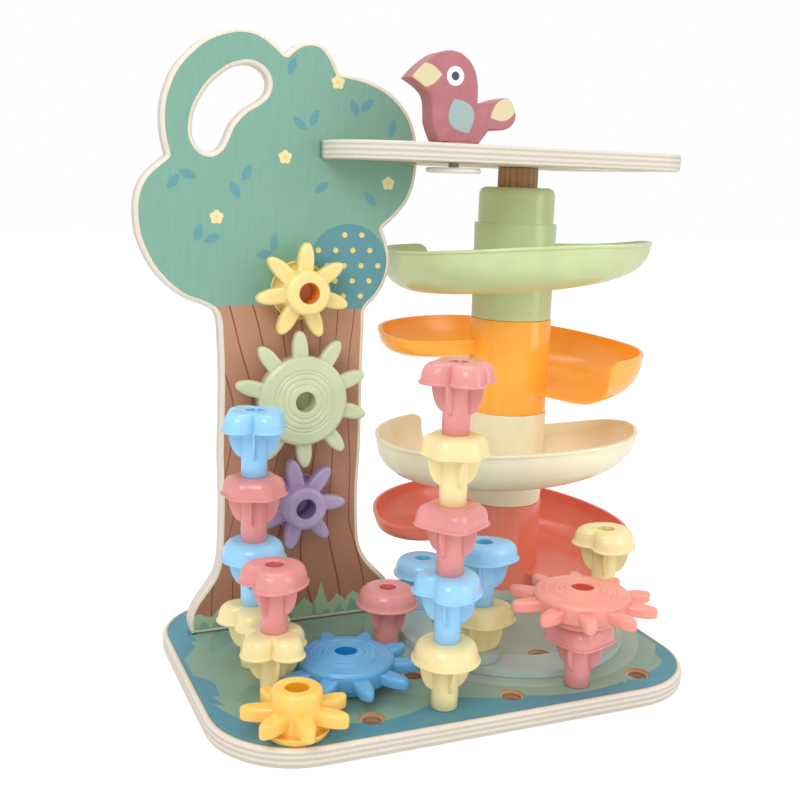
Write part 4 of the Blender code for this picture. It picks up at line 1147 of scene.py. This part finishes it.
@dataclass
class Gears:
    """The gears: small ones with a tall hub and seven teeth, large ones with a grooved disc and ten teeth."""

    bore: float = 7.0 * MM
    bore_floor: float = 9.0 * MM
    spigot: float = 5.35 * MM
    spigot_length: float = 10.0 * MM
    spigot_nose: float = 0.8 * MM
    dish: float = 20.0 * MM
    dish_height: float = 4.2 * MM
    small_height: float = 27.7 * MM
    small_hub: float = 15.0 * MM
    large_height: float = 23.3 * MM
    large_disc: float = 30.8 * MM
    face_fall: float = 3.5 * MM
    grooves: tuple = (11.8 * MM, 15.4 * MM, 19.2 * MM, 21.4 * MM)
    groove_width: float = 0.55 * MM
    groove_depth: float = 0.60 * MM
    small_teeth: ToothRing = ToothRing(7, 14.0 * MM, 32.6 * MM, 11.2 * MM, 8.0 * MM, 8.6 * MM)
    large_teeth: ToothRing = ToothRing(10, 29.8 * MM, 47.6 * MM, 11.3 * MM, 9.9 * MM, 7.0 * MM)
    columns: int = 112
    places: tuple = (
        GearPlace("gear_base_amber", False, (-118.0 * MM, -94.2 * MM, 12.3 * MM), 9.4, True),
        GearPlace("gear_base_blue", True, (-70.8 * MM, -47.0 * MM, 12.3 * MM), 15.9, True),
        GearPlace("gear_peg_coral", True, (70.8 * MM, -94.2 * MM, 55.1 * MM), -79.8, True),
        GearPlace("gear_wall_yellow", False, (-72.4 * MM, 59.0 * MM, 252.3 * MM), -68.6, False),
        GearPlace("gear_wall_green", True, (-72.4 * MM, 59.0 * MM, 178.5 * MM), 93.0, False),
        GearPlace("gear_wall_purple", False, (-72.4 * MM, 59.0 * MM, 104.7 * MM), 50.3, False),
    )

    def spigot_rows(self) -> np.ndarray:
        """Profile of the spigot, from the pole at its foot up to the gear's seat."""
        radius, end, nose = self.spigot, -self.spigot_length, self.spigot_nose
        return np.array([(radius - nose, end), (radius, end + nose), (radius, 0.0)])

    def bore_rows(self, top: float) -> np.ndarray:
        """Profile of the bore, from its rounded mouth down to the pole of its floor.

        Args:
            top: Height of the gear's top.

        Returns:
            Radius and height of each row.
        """
        mouth = corner((self.bore + 1.0 * MM, top - 1.0 * MM), 1.0 * MM, 90.0, 180.0)
        floor = [(self.bore, self.bore_floor + 0.5 * MM), (self.bore - 0.5 * MM, self.bore_floor)]
        return np.concatenate([mouth, floor])

    def small_body(self) -> Shell:
        """Hub and dish of a small gear, turned.

        Returns:
            The shell.
        """
        hub, top, dish = self.small_hub, self.small_height, self.dish
        rows = [
            self.spigot_rows(),
            [(dish - 1.6 * MM, 0.0)],
            corner((dish - 0.6 * MM, self.dish_height - 0.6 * MM), 0.6 * MM, -20.0, 180.0, 7),
            [(dish - 2.4 * MM, 1.9 * MM), (hub + 1.0 * MM, 1.8 * MM)],
            corner((hub + 1.0 * MM, 2.8 * MM), 1.0 * MM, 270.0, 180.0),
            corner((hub - 3.2 * MM, top - 3.2 * MM), 3.2 * MM, 0.0, 90.0, 8),
            self.bore_rows(top),
        ]
        # The bore's last two bands and its floor take the painted bore shade.
        return lathe(np.concatenate(rows), self.columns, deep=2)

    def large_body(self) -> Shell:
        """Disc, grooved face and collar of a large gear, turned.

        The face falls straight from the bore to the edge, less grooves of depth
        exp(-((r - ring) / width) ^ 2).

        Returns:
            The shell.
        """
        disc, top, dish, low = self.large_disc, self.large_height, self.dish, self.dish_height
        radius = np.linspace(disc - 1.9 * MM, self.bore + 1.6 * MM, 90)
        fall = (radius - self.bore) / (disc - self.bore)
        cut = sum(np.exp(-(((radius - ring) / self.groove_width) ** 2)) for ring in self.grooves)
        face = np.stack([radius, top - self.face_fall * fall - self.groove_depth * cut], axis=-1)
        collar = 15.0 * MM
        rows = [
            self.spigot_rows(),
            [(dish - 1.6 * MM, 0.0), (dish, 0.8 * MM), (dish, low - 0.5 * MM), (dish - 0.5 * MM, low)],
            [(collar + 0.6 * MM, low), (collar, 4.8 * MM), (collar, 7.6 * MM), (collar + 0.5 * MM, 8.0 * MM)],
            [(disc - 1.2 * MM, 8.0 * MM), (disc, 9.2 * MM)],
            corner((disc - 2.0 * MM, top - self.face_fall - 2.0 * MM), 2.0 * MM, 0.0, 80.0, 7),
            face,
            self.bore_rows(top),
        ]
        # The bore's last two bands and its floor take the painted bore shade.
        return lathe(np.concatenate(rows), self.columns, deep=2)

    def teeth(self, ring: ToothRing) -> Shell:
        """A ring of petal-shaped teeth, one of them along X.

        A tooth's side is straight for a third of its length and then closes like a petal to the tip, as
        cos(v) ^ 1.15 along and sin(v) ^ 0.92 across. The rows draw the outline in while the height follows
        a rounded edge, under and over the tooth.

        Args:
            ring: The sizes of the teeth.

        Returns:
            The shell.
        """
        root, top = ring.root, ring.foot + ring.height
        under = ((2.6, 0.0), (1.2, 0.0), (0.45, 0.35), (0.0, 1.2))
        over = ((0.0, -2.2), (0.3, -1.2), (0.9, -0.5), (1.9, -0.12), (3.2, 0.0))
        levels = [(inset * MM, ring.foot + rise * MM) for inset, rise in under]
        levels += [(inset * MM, top + rise * MM) for inset, rise in over]
        turn = np.radians(np.linspace(-90.0, 90.0, 25))
        reach = np.cos(turn) ** 1.15
        spread = np.sign(turn) * np.abs(np.sin(turn)) ** 0.92
        knee = root + 0.34 * (ring.tip - root)
        angle = 2.0 * math.pi * np.arange(ring.count)[:, None] / ring.count
        cos, sin = np.cos(angle), np.sin(angle)
        rows = []
        for inset, level in levels:
            half = 0.48 * ring.width - inset
            x = np.concatenate([[root], knee + (ring.tip - inset - knee) * reach, [root]])
            y = np.concatenate([[-half], half * spread, [half]])
            height = np.full((ring.count, len(x)), level)
            row = np.stack([x * cos - y * sin, x * sin + y * cos, height], axis=-1)
            rows.append(row.reshape(-1, 3))
        low = rows[0].copy()
        low[:, :2] *= (root - 4.0 * MM) / np.linalg.norm(low[:, :2], axis=-1, keepdims=True)
        high = low.copy()
        low[:, 2] = ring.foot + 0.4 * MM
        high[:, 2] = top - 0.4 * MM
        return Shell(np.stack([low, *rows, high]), Cap.LOOP)

    def build(self, shop: Workshop) -> None:
        """Makes every gear in its place.

        Args:
            shop: The workshop.
        """
        for place in self.places:
            body = self.large_body() if place.large else self.small_body()
            teeth = self.teeth(self.large_teeth if place.large else self.small_teeth)
            matrix = turned(place.tooth_at)
            if not place.upright:
                matrix = turned(90.0, "X") @ matrix
            matrix = Matrix.Translation(place.seat) @ matrix
            shop.mould(place.node, [placed(body, matrix), placed(teeth, matrix)])


@dataclass
class BallTower:
    """The ball tower: a post, and four modules of a tube with a spiral channel, each turned half round."""

    x: float = 108.0 * MM
    y: float = 86.0 * MM
    foot: float = 12.3 * MM
    pitch: float = 71.7 * MM
    tube_top: float = 31.0 * MM
    tube_foot: float = 30.3 * MM
    bore: float = 28.8 * MM
    coupler_height: float = 26.5 * MM
    coupler_round: float = 5.5 * MM
    coupler_wall: float = 2.2 * MM
    play: float = 0.3 * MM
    post_hole: float = 15.8 * MM
    post: float = 15.0 * MM
    post_top: float = 339.7 * MM
    post_edge: float = 0.5 * MM
    rim_radius: float = 101.0 * MM
    floor_radius: float = 66.0 * MM
    wall: float = 1.8 * MM
    lip_drop: float = 2.2 * MM
    entry_bend: float = 28.0 * MM
    entry_wall: float = 2.0
    sweep: float = 260.0
    start: float = 187.0
    modules: tuple = (("ramp_coral", 0.0), ("ramp_ivory", 180.0), ("ramp_orange", 0.0), ("ramp_green", 180.0))

    def floor(self, share: np.ndarray) -> np.ndarray:
        """Underside of the channel: 15.5 + 28.5 share ^ 1.7 mm, from its exit at 0 to its start at 1."""
        return (15.5 + 28.5 * np.clip(share, 0.0, 1.0) ** 1.7) * MM

    def rim(self, share: np.ndarray) -> np.ndarray:
        """Height of the rim: 50 mm, rising by 11.5 mm on a smooth step, with a dip and a rounded exit.

        Args:
            share: 0 at the channel's exit and 1 at its start.

        Returns:
            The heights.
        """
        rise = np.clip((share - 0.25) / 0.42, 0.0, 1.0)
        height = 50.0 + 11.5 * rise * rise * (3.0 - 2.0 * rise)
        height = height - 6.0 * (np.clip(share - 0.86, 0.0, 1.0) / 0.14) ** 2
        near = np.clip(share * self.sweep / 7.0, 0.0, 1.0)
        return (height - 8.0 * (1.0 - np.sqrt(1.0 - (1.0 - near) ** 2))) * MM

    def reach(self, distance: np.ndarray, radius: float, bend: float) -> np.ndarray:
        """Radius of the outer wall, which closes on a quarter circle over the last stretch to the start."""
        short = np.clip(bend - np.maximum(distance, 0.0), 0.0, bend)
        return radius - bend + np.sqrt(bend**2 - short**2)

    def channel(self) -> Shell:
        """The open spiral channel.

        Each station's section runs out under the floor, up the bowl-shaped wall by
        up = 1 - (1 - along ^ 2.4) ^ (1 / 2.4), over the lip, and back inside. The first stations are solid
        and make the wall that closes the channel at its start.

        Returns:
            The shell.
        """
        closed = self.entry_wall
        end_wall = [0.0, closed, closed + 0.01]
        near, far = np.linspace(3.0, 17.0, 14), np.linspace(20.0, 253.0, 72)
        angles = np.concatenate([end_wall, near, far, np.linspace(254.0, self.sweep, 8)])
        solid = angles <= closed
        share = 1.0 - angles / self.sweep
        floor, rim = self.floor(share), self.rim(share)
        radius, bend = self.rim_radius, self.entry_bend
        outer = self.reach(radius * np.radians(angles), radius, bend)
        inner = self.reach(radius * np.radians(angles - closed), radius - self.wall, bend - self.wall)
        along = np.sin(np.linspace(0.0, math.pi / 2, 16))
        up = 1.0 - (1.0 - along**2.4) ** (1.0 / 2.4)

        def wall_rows(base: np.ndarray, top: np.ndarray, edge: np.ndarray) -> tuple[np.ndarray, np.ndarray]:
            """Radius and height up the wall at every station."""
            out = self.floor_radius + (edge - self.floor_radius)[:, None] * along
            return out, base[:, None] + (top - base)[:, None] * up

        under_r, under_z = wall_rows(floor, rim - self.lip_drop, outer)
        inside_r, inside_z = wall_rows(floor + self.wall, rim, inner)
        inside_z[solid] = rim[solid][:, None]
        root = np.full((len(angles), 1), (self.bore + self.tube_foot) / 2)
        lip_r = outer[:, None] + np.array([0.8, 1.0, 1.0, 0.7, 0.2]) * MM
        lip_z = rim[:, None] + np.array([-2.2, -1.9, -0.5, -0.1, 0.0]) * MM
        back_z = np.where(solid, rim, floor + self.wall)[:, None]
        out = np.concatenate([root, under_r, lip_r, inside_r[:, ::-1], root], axis=1)
        height = np.concatenate([floor[:, None], under_z, lip_z, inside_z[:, ::-1], back_z], axis=1)
        turn = np.radians(self.start - angles)[:, None]
        return Shell(np.stack([out * np.cos(turn), out * np.sin(turn), height], axis=-1), Cap.FLAT)

    def tube(self) -> Shell:
        """The tube with its coupler on top, a closed skin round the post's hole.

        Returns:
            The shell.
        """
        height = self.pitch - self.play
        collar = self.bore - self.play
        top = height + self.coupler_height
        arch, wall = self.coupler_round, self.coupler_wall
        inside = collar - wall
        rows = [
            [(self.post_hole, top)],
            corner((collar - arch, top - arch), arch, 90.0, 0.0, 9),
            [(collar, height + 0.4 * MM), (collar + 0.4 * MM, height)],
            corner((self.tube_top - 0.6 * MM, height - 0.6 * MM), 0.6 * MM, 90.0, 0.0, 4),
            [(self.tube_foot, 0.3 * MM), (self.tube_foot - 0.3 * MM, 0.0), (self.bore, 0.0)],
            [(self.bore, height - wall), (inside, height - wall), (inside, top - arch)],
            [(inside - arch + wall, top - wall), (self.post_hole, top - wall)],
        ]
        return lathe(np.concatenate(rows), 128, Cap.LOOP)

    def build(self, shop: Workshop) -> None:
        """Makes the modules and the post.

        Args:
            shop: The workshop.
        """
        for place, (node, turn) in enumerate(self.modules):
            matrix = Matrix.Translation((self.x, self.y, self.foot + place * self.pitch)) @ turned(turn)
            shop.mould(node, [placed(self.tube(), matrix), placed(self.channel(), matrix)], 40.0)
        low, high, radius, edge = self.foot, self.post_top, self.post, self.post_edge
        rows = [(radius - edge, low), (radius, low + edge), (radius, high - edge), (radius - edge, high)]
        post = placed(lathe(np.array(rows), 64), Matrix.Translation((self.x, self.y, 0.0)))
        shop.mount(piece("turned_post", [post], [OiledPine().material("oiled_pine")], 38.0), "tower_post")


def eased(loop: np.ndarray, rounds: int = 2) -> np.ndarray:
    """Adds points between those of a closed outline, on the smooth curve through them.

    A new point between b and c is (9 (b + c) - a - d) / 16, where a and d are the next points out, brought
    as near as b and c are to each other. Past a corner of over 50 degrees, a or d lies straight on, so that
    corners stay sharp.

    Args:
        loop: The outline's points, one row each.
        rounds: How often the number of points is doubled.

    Returns:
        The finer outline.
    """
    for _ in range(rounds):
        after = np.roll(loop, -1, axis=0)
        side = after - loop
        length = np.linalg.norm(side, axis=1, keepdims=True)
        way = side / length
        before = np.roll(way, 1, axis=0)
        crisp = (way * before).sum(1, keepdims=True) < math.cos(math.radians(CRISP_TURN))
        back = np.minimum(np.roll(length, 1, axis=0), length)
        ahead = np.minimum(np.roll(length, -1, axis=0), length)
        first = np.where(crisp, loop - side, loop - before * back)
        last = np.where(np.roll(crisp, -1, axis=0), after + side, after + np.roll(way, -1, axis=0) * ahead)
        middle = (9.0 * (loop + after) - first - last) / 16.0
        loop = np.stack([loop, middle], axis=1).reshape(-1, 2)
    return loop


def inward(loop: np.ndarray) -> np.ndarray:
    """Direction into the material at each point of an outline, with the material to its left.

    It is the mean of the two sides' normals, made longer at corners by the secant of half their angle, up
    to 1.5.

    Args:
        loop: The outline's points, one row each.

    Returns:
        One vector for each point.
    """
    way = np.roll(loop, -1, axis=0) - loop
    way = way / np.linalg.norm(way, axis=1, keepdims=True)
    normal = np.stack([-way[:, 1], way[:, 0]], axis=1)
    both = normal + np.roll(normal, 1, axis=0)
    size = np.linalg.norm(both, axis=1, keepdims=True)
    return both / size * np.minimum(2.0 / size, 1.5)


def area(loop: np.ndarray) -> float:
    """Area inside an outline, above zero where it runs anticlockwise: half the sum of x y' - x' y."""
    after = np.roll(loop, -1, axis=0)
    return 0.5 * float(np.sum(loop[:, 0] * after[:, 1] - after[:, 0] * loop[:, 1]))


@dataclass
class Plate:
    """A flat wooden piece, worked out anew with smooth outlines from the upright walls of its CAD solid."""

    axis: Axis
    face: float
    back: float
    edge_round: float
    print_inset: float
    bore_step: float = 1.85 * MM
    bore_depth: float = 1.5 * MM
    bore_limit: float = 13.0 * MM
    screw_limit: float = 6.0 * MM

    def outlines(self, work: bmesh.types.BMesh) -> list[np.ndarray]:
        """Closed outlines of the plate: the outer one runs anticlockwise, holes run clockwise.

        Each tall wall shows as one line on the plate's plane, and the lines are joined end to end. Outlines
        as small as the hidden screw holes are left out.

        Args:
            work: The CAD solid's mesh.

        Returns:
            The outlines' points.
        """
        across = self.axis.value
        lines = []
        for face in work.faces:
            spots = np.array([vert.co[:] for vert in face.verts])
            tall = np.ptp(spots[:, across]) > 0.3 * abs(self.face - self.back)
            if tall and abs(face.normal[across]) < 0.02:
                flat = spots[:, self.axis.plane()]
                away = np.linalg.norm(flat[:, None] - flat[None], axis=-1)
                lines.append(flat[list(np.unravel_index(away.argmax(), away.shape))])
        rest = np.array(lines)
        loops = []
        while len(rest):
            chain = [rest[0, 0], rest[0, 1]]
            rest = rest[1:]
            while len(rest):
                gap = np.linalg.norm(rest - chain[-1], axis=-1)
                line, end = np.unravel_index(gap.argmin(), gap.shape)
                if gap[line, end] > 0.1 * MM:
                    break
                chain.append(rest[line, 1 - end])
                rest = np.delete(rest, line, axis=0)
            loops.append(np.array(chain[:-1]))
        loops = [loop for loop in loops if np.ptp(loop[:, 0]) > self.screw_limit]
        outer = max(loops, key=lambda loop: abs(area(loop)))
        return [loop if (area(loop) > 0.0) == (loop is outer) else loop[::-1] for loop in loops]

    def rows(self, bored: bool) -> list[tuple[float, float, int]]:
        """Rows of a wall, from the face to the back: a stepped bore, or a wall with rounded edges.

        Args:
            bored: Whether the wall is that of a peg hole.

        Returns:
            Each row's distance into the material, its height, and the material of the strip after it.
        """
        face, back = self.face, self.back
        out = 1.0 if face > back else -1.0
        if bored:
            step = face - out * self.bore_depth
            return [(self.bore_step, face, 2), (self.bore_step, step, 2), (0.0, step, 2), (0.0, back, 2)]
        turn = np.radians(np.linspace(90.0, 0.0, 6))
        edge = self.edge_round
        first = [(edge * (1.0 - math.cos(a)), face - out * edge * (1.0 - math.sin(a)), 0) for a in turn]
        last = [(inset, face + back - level, 0) for inset, level, _ in reversed(first)]
        bare = edge + self.print_inset
        return [(bare, face, 0), *first, *last, (bare, back, 0)]

    def mesh(
        self, name: str, work: bmesh.types.BMesh, inks: tuple, square: Callable | None = None
    ) -> bpy.types.Mesh:
        """Builds the plate's mesh.

        Args:
            name: The mesh's name.
            work: The CAD solid's mesh, which is freed.
            inks: Material numbers of the face and of the back.
            square: Says of each point of an outline whether the plate's edge stays square there.

        Returns:
            The mesh.
        """
        made = bmesh.new()
        fills: tuple[list, list] = ([], [])
        for loop in self.outlines(work):
            bored = float(np.ptp(loop[:, 0])) < self.bore_limit
            loop = eased(loop)
            into = inward(loop)
            if square is not None:
                into = into * np.array([0.0 if square(x, up) else 1.0 for x, up in loop])[:, None]
            rings = []
            for inset, level, ink in self.rows(bored):
                spots = np.full((len(loop), 3), level)
                spots[:, self.axis.plane()] = loop + into * inset
                rings.append(([made.verts.new(spot) for spot in spots], ink))
            for (ring, ink), (following, _) in zip(rings, rings[1:]):
                for at in range(len(ring)):
                    face = made.faces.new((ring[at - 1], ring[at], following[at], following[at - 1]))
                    face.material_index = ink
            for fill, (ring, _) in zip(fills, (rings[0], rings[-1])):
                fill += [made.edges.get((ring[at - 1], ring[at])) for at in range(len(ring))]
        for fill, ink in zip(fills, inks):
            filled = bmesh.ops.triangle_fill(made, use_beauty=True, use_dissolve=False, edges=fill)
            for face in filled["geom"]:
                if isinstance(face, bmesh.types.BMFace):
                    face.material_index = ink
        bmesh.ops.remove_doubles(made, verts=made.verts, dist=1e-6)
        bmesh.ops.recalc_face_normals(made, faces=made.faces)
        LOG.info("%s: %d open edges", name, sum(not edge.is_manifold for edge in made.edges))
        work.free()
        return mesh_of(name, made)


@dataclass
class Boards:
    """The plywood boards: the base, the tree and the shelf, with their prints drawn in from the edges."""

    thickness: float = 12.0 * MM
    panel_front: float = 59.3 * MM
    shelf_underside: float = 340.0 * MM
    edge_round: float = 2.8 * MM
    print_inset: float = 0.2 * MM

    def by_shelf(self, x: float, up: float) -> bool:
        """Whether a point of the tree's outline lies in the slot that the shelf passes through."""
        return -30.0 * MM < x < 9.0 * MM and abs(up - self.shelf_underside - 6.0 * MM) < 7.5 * MM

    def build(self, shop: Workshop) -> None:
        """Makes the three boards.

        Args:
            shop: The workshop.
        """
        thick, front = self.thickness, self.panel_front
        base = BirchPlywood(0.0, thick, Axis.Z, veneer="#e6c7a3", veneer_dark="#dab891")
        drilled = BirchPlywood(0.0, thick, Axis.Z, "#d2a981", "#c59b73", True, "#cba37c", "#b58c66")
        holes = drilled.material("drilled_plywood")
        panel = BirchPlywood(front, thick, Axis.Y, veneer="#ece0ca", grain_along_x=False)
        shelf = BirchPlywood(self.shelf_underside, thick, Axis.Z)
        plate = Plate(Axis.Z, thick, 0.0, self.edge_round, self.print_inset)
        mesh = plate.mesh("base_board_plate", shop.copy("base_board"), (1, 0))
        looks = [base.material("birch_plywood_base"), MeadowPrint().material("meadow_print"), holes]
        shop.board("base_board", mesh, looks)
        plate = Plate(Axis.Y, front, front + thick, self.edge_round, self.print_inset)
        mesh = plate.mesh("tree_panel_plate", shop.copy("tree_panel"), (1, 1), self.by_shelf)
        looks = [panel.material("birch_plywood_panel"), TreePrint().material("tree_print"), holes]
        shop.board("tree_panel", mesh, looks)
        mesh = mesh_of("shelf", shop.copy("top_board"))
        shop.board("top_board", mesh, [shelf.material("birch_plywood_shelf")])


@dataclass
class Bird:
    """The wooden bird with its dowel and the button that keeps it in the slot."""

    front: float = 15.0 * MM
    thickness: float = 18.0 * MM
    edge_round: float = 1.5 * MM
    print_inset: float = 0.1 * MM

    def build(self, shop: Workshop) -> None:
        """Makes the bird, and dresses its dowel and its button.

        Args:
            shop: The workshop.
        """
        plate = Plate(Axis.Y, self.front, self.front + self.thickness, self.edge_round, self.print_inset)
        mesh = plate.mesh("bird_body", shop.copy("bird"), (0, 0))
        shop.board("bird", mesh, [BirdPaint().material("bird_paint", self.front)])
        dowel = BirchPlywood(330.0 * MM, 40.0 * MM, Axis.Z, grain_along_x=False).material("birch_dowel")
        for node, look in (("bird_stem", dowel), ("bird_button", shop.plastic("bird_button"))):
            shop.board(node, mesh_of(node + "_part", shop.copy(node)), [look], 40.0)


@dataclass
class GroundPieces:
    """The pale ring on the base with the disc on it, and the hidden screws, dressed as they are."""

    screws: tuple = ("panel_screw_1", "panel_screw_2", "panel_screw_3", "post_foot_screw", "post_top_screw")

    def build(self, shop: Workshop) -> None:
        """Gives the ring, the disc and the screws their finishes.

        Args:
            shop: The workshop.
        """
        steel = PlatedSteel().material("zinc_plated_steel")
        for node in ("ground_ring", "ring_spacer", *self.screws):
            mesh = shop.nodes[node].data
            mesh.materials.clear()
            mesh.materials.append(steel if node in self.screws else shop.plastic(node))
            LOG.info("%s: dressed", node)


@dataclass
class Studio:
    """A white studio: pale floor, soft lamps and the camera at the photograph's place.

    A lamp is given by its name, its place, its width and depth, and its power in watts.
    """

    lens: float = 49.14
    yaw: float = 23.18
    pitch: float = 11.18
    roll: float = 1.878
    place: tuple = (-298.2 * MM, -651.6 * MM, 324.9 * MM)
    aim: tuple = (0.0, 0.0, 0.18)
    lamps: tuple = (
        ("key", (-0.75, -0.85, 1.05), (0.7, 0.7), 8.0),
        ("fill", (0.95, -0.75, 0.55), (0.5, 0.9), 3.2),
        ("top", (0.05, 0.25, 1.35), (0.9, 0.9), 5.5),
    )
    floor_reach: float = 6.0

    def stand(self, name: str, data: object, axes: list[np.ndarray], place: tuple) -> bpy.types.Object:
        """Stands a lamp or a camera in the studio.

        Args:
            name: The object's name.
            data: The lamp or camera.
            axes: Its own three axes, as unit vectors.
            place: Its place.

        Returns:
            The object.
        """
        matrix = np.eye(4)
        matrix[:3, :3] = np.stack(axes, axis=1)
        matrix[:3, 3] = place
        made = link(name, data)
        made.matrix_world = Matrix(matrix.tolist())
        return made

    def camera(self) -> None:
        """Places the camera from its yaw, pitch and roll."""
        yaw, pitch, roll = (math.radians(v) for v in (self.yaw, self.pitch, self.roll))
        ahead = np.array([math.sin(yaw) * math.cos(pitch), math.cos(yaw) * math.cos(pitch), -math.sin(pitch)])
        right = np.array([math.cos(yaw), -math.sin(yaw), 0.0])
        above = np.cross(right, ahead)
        across = math.cos(roll) * right + math.sin(roll) * above
        upward = math.cos(roll) * above - math.sin(roll) * right
        data = bpy.data.cameras.new("camera")
        data.lens = self.lens
        data.sensor_width = 36.0
        data.clip_start = 0.01
        bpy.context.scene.camera = self.stand("camera", data, [across, upward, -ahead], self.place)

    def floor(self) -> None:
        """A broad floor, a little above plain white to the camera so that only the shadow shows on it."""
        graph = material_graph("white_paper_floor")
        paper = graph.add("BsdfDiffuse", {"Color": linear("#f2f2f0")})
        glow = graph.add("Emission", {"Color": WHITE, "Strength": 0.40})
        seen = graph.add("LightPath", out="Is Camera Ray")
        none = graph.add("Emission", {"Strength": 0.0})
        lift = graph.add("MixShader", {0: seen, 1: none, 2: glow})
        mesh = bpy.data.meshes.new("floor")
        size = self.floor_reach
        spots = [(x, y, 0.0) for x, y in ((-size, -size), (size, -size), (size, size), (-size, size))]
        mesh.from_pydata(spots, [], [(0, 1, 2, 3)])
        mesh.materials.append(graph.finish(graph.add("AddShader", {0: paper, 1: lift})))
        link("floor", mesh)

    def sky(self) -> None:
        """An even white world: full white to the camera and softer on the object."""
        world = bpy.data.worlds.new("studio")
        bpy.context.scene.world = world
        graph = Graph(world)
        strength = graph.carried(graph.add("LightPath", out="Is Camera Ray"), (0.70, 1.0))
        graph.finish(graph.add("Background", {"Color": WHITE, "Strength": strength}))

    def lights(self) -> None:
        """Soft rectangular lamps, each aimed at the middle of the object."""
        for name, place, size, power in self.lamps:
            data = bpy.data.lights.new(name, "AREA")
            data.shape = "RECTANGLE"
            data.size, data.size_y = size
            data.energy = power
            away = np.array(place) - self.aim
            away = away / np.linalg.norm(away)
            side = np.cross([0.0, 0.0, 1.0], away)
            side = side / np.linalg.norm(side)
            self.stand(name, data, [side, np.cross(away, side), away], place)

    def build(self) -> None:
        """Makes the floor, the world, the lamps and the camera."""
        self.floor()
        self.sky()
        self.lights()
        self.camera()
        bpy.context.scene.view_settings.view_transform = "Standard"


def main() -> None:
    """Builds every sub-assembly in order."""
    logging.basicConfig(level=logging.INFO, format="%(name)s: %(message)s")
    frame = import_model()
    shop = Workshop(frame)
    for part in (Boards(), GroundPieces(), BallTower(), Gears(), StackingPegs(), Bird()):
        part.build(shop)
    Studio().build()


if __name__ == "__main__":
    main()
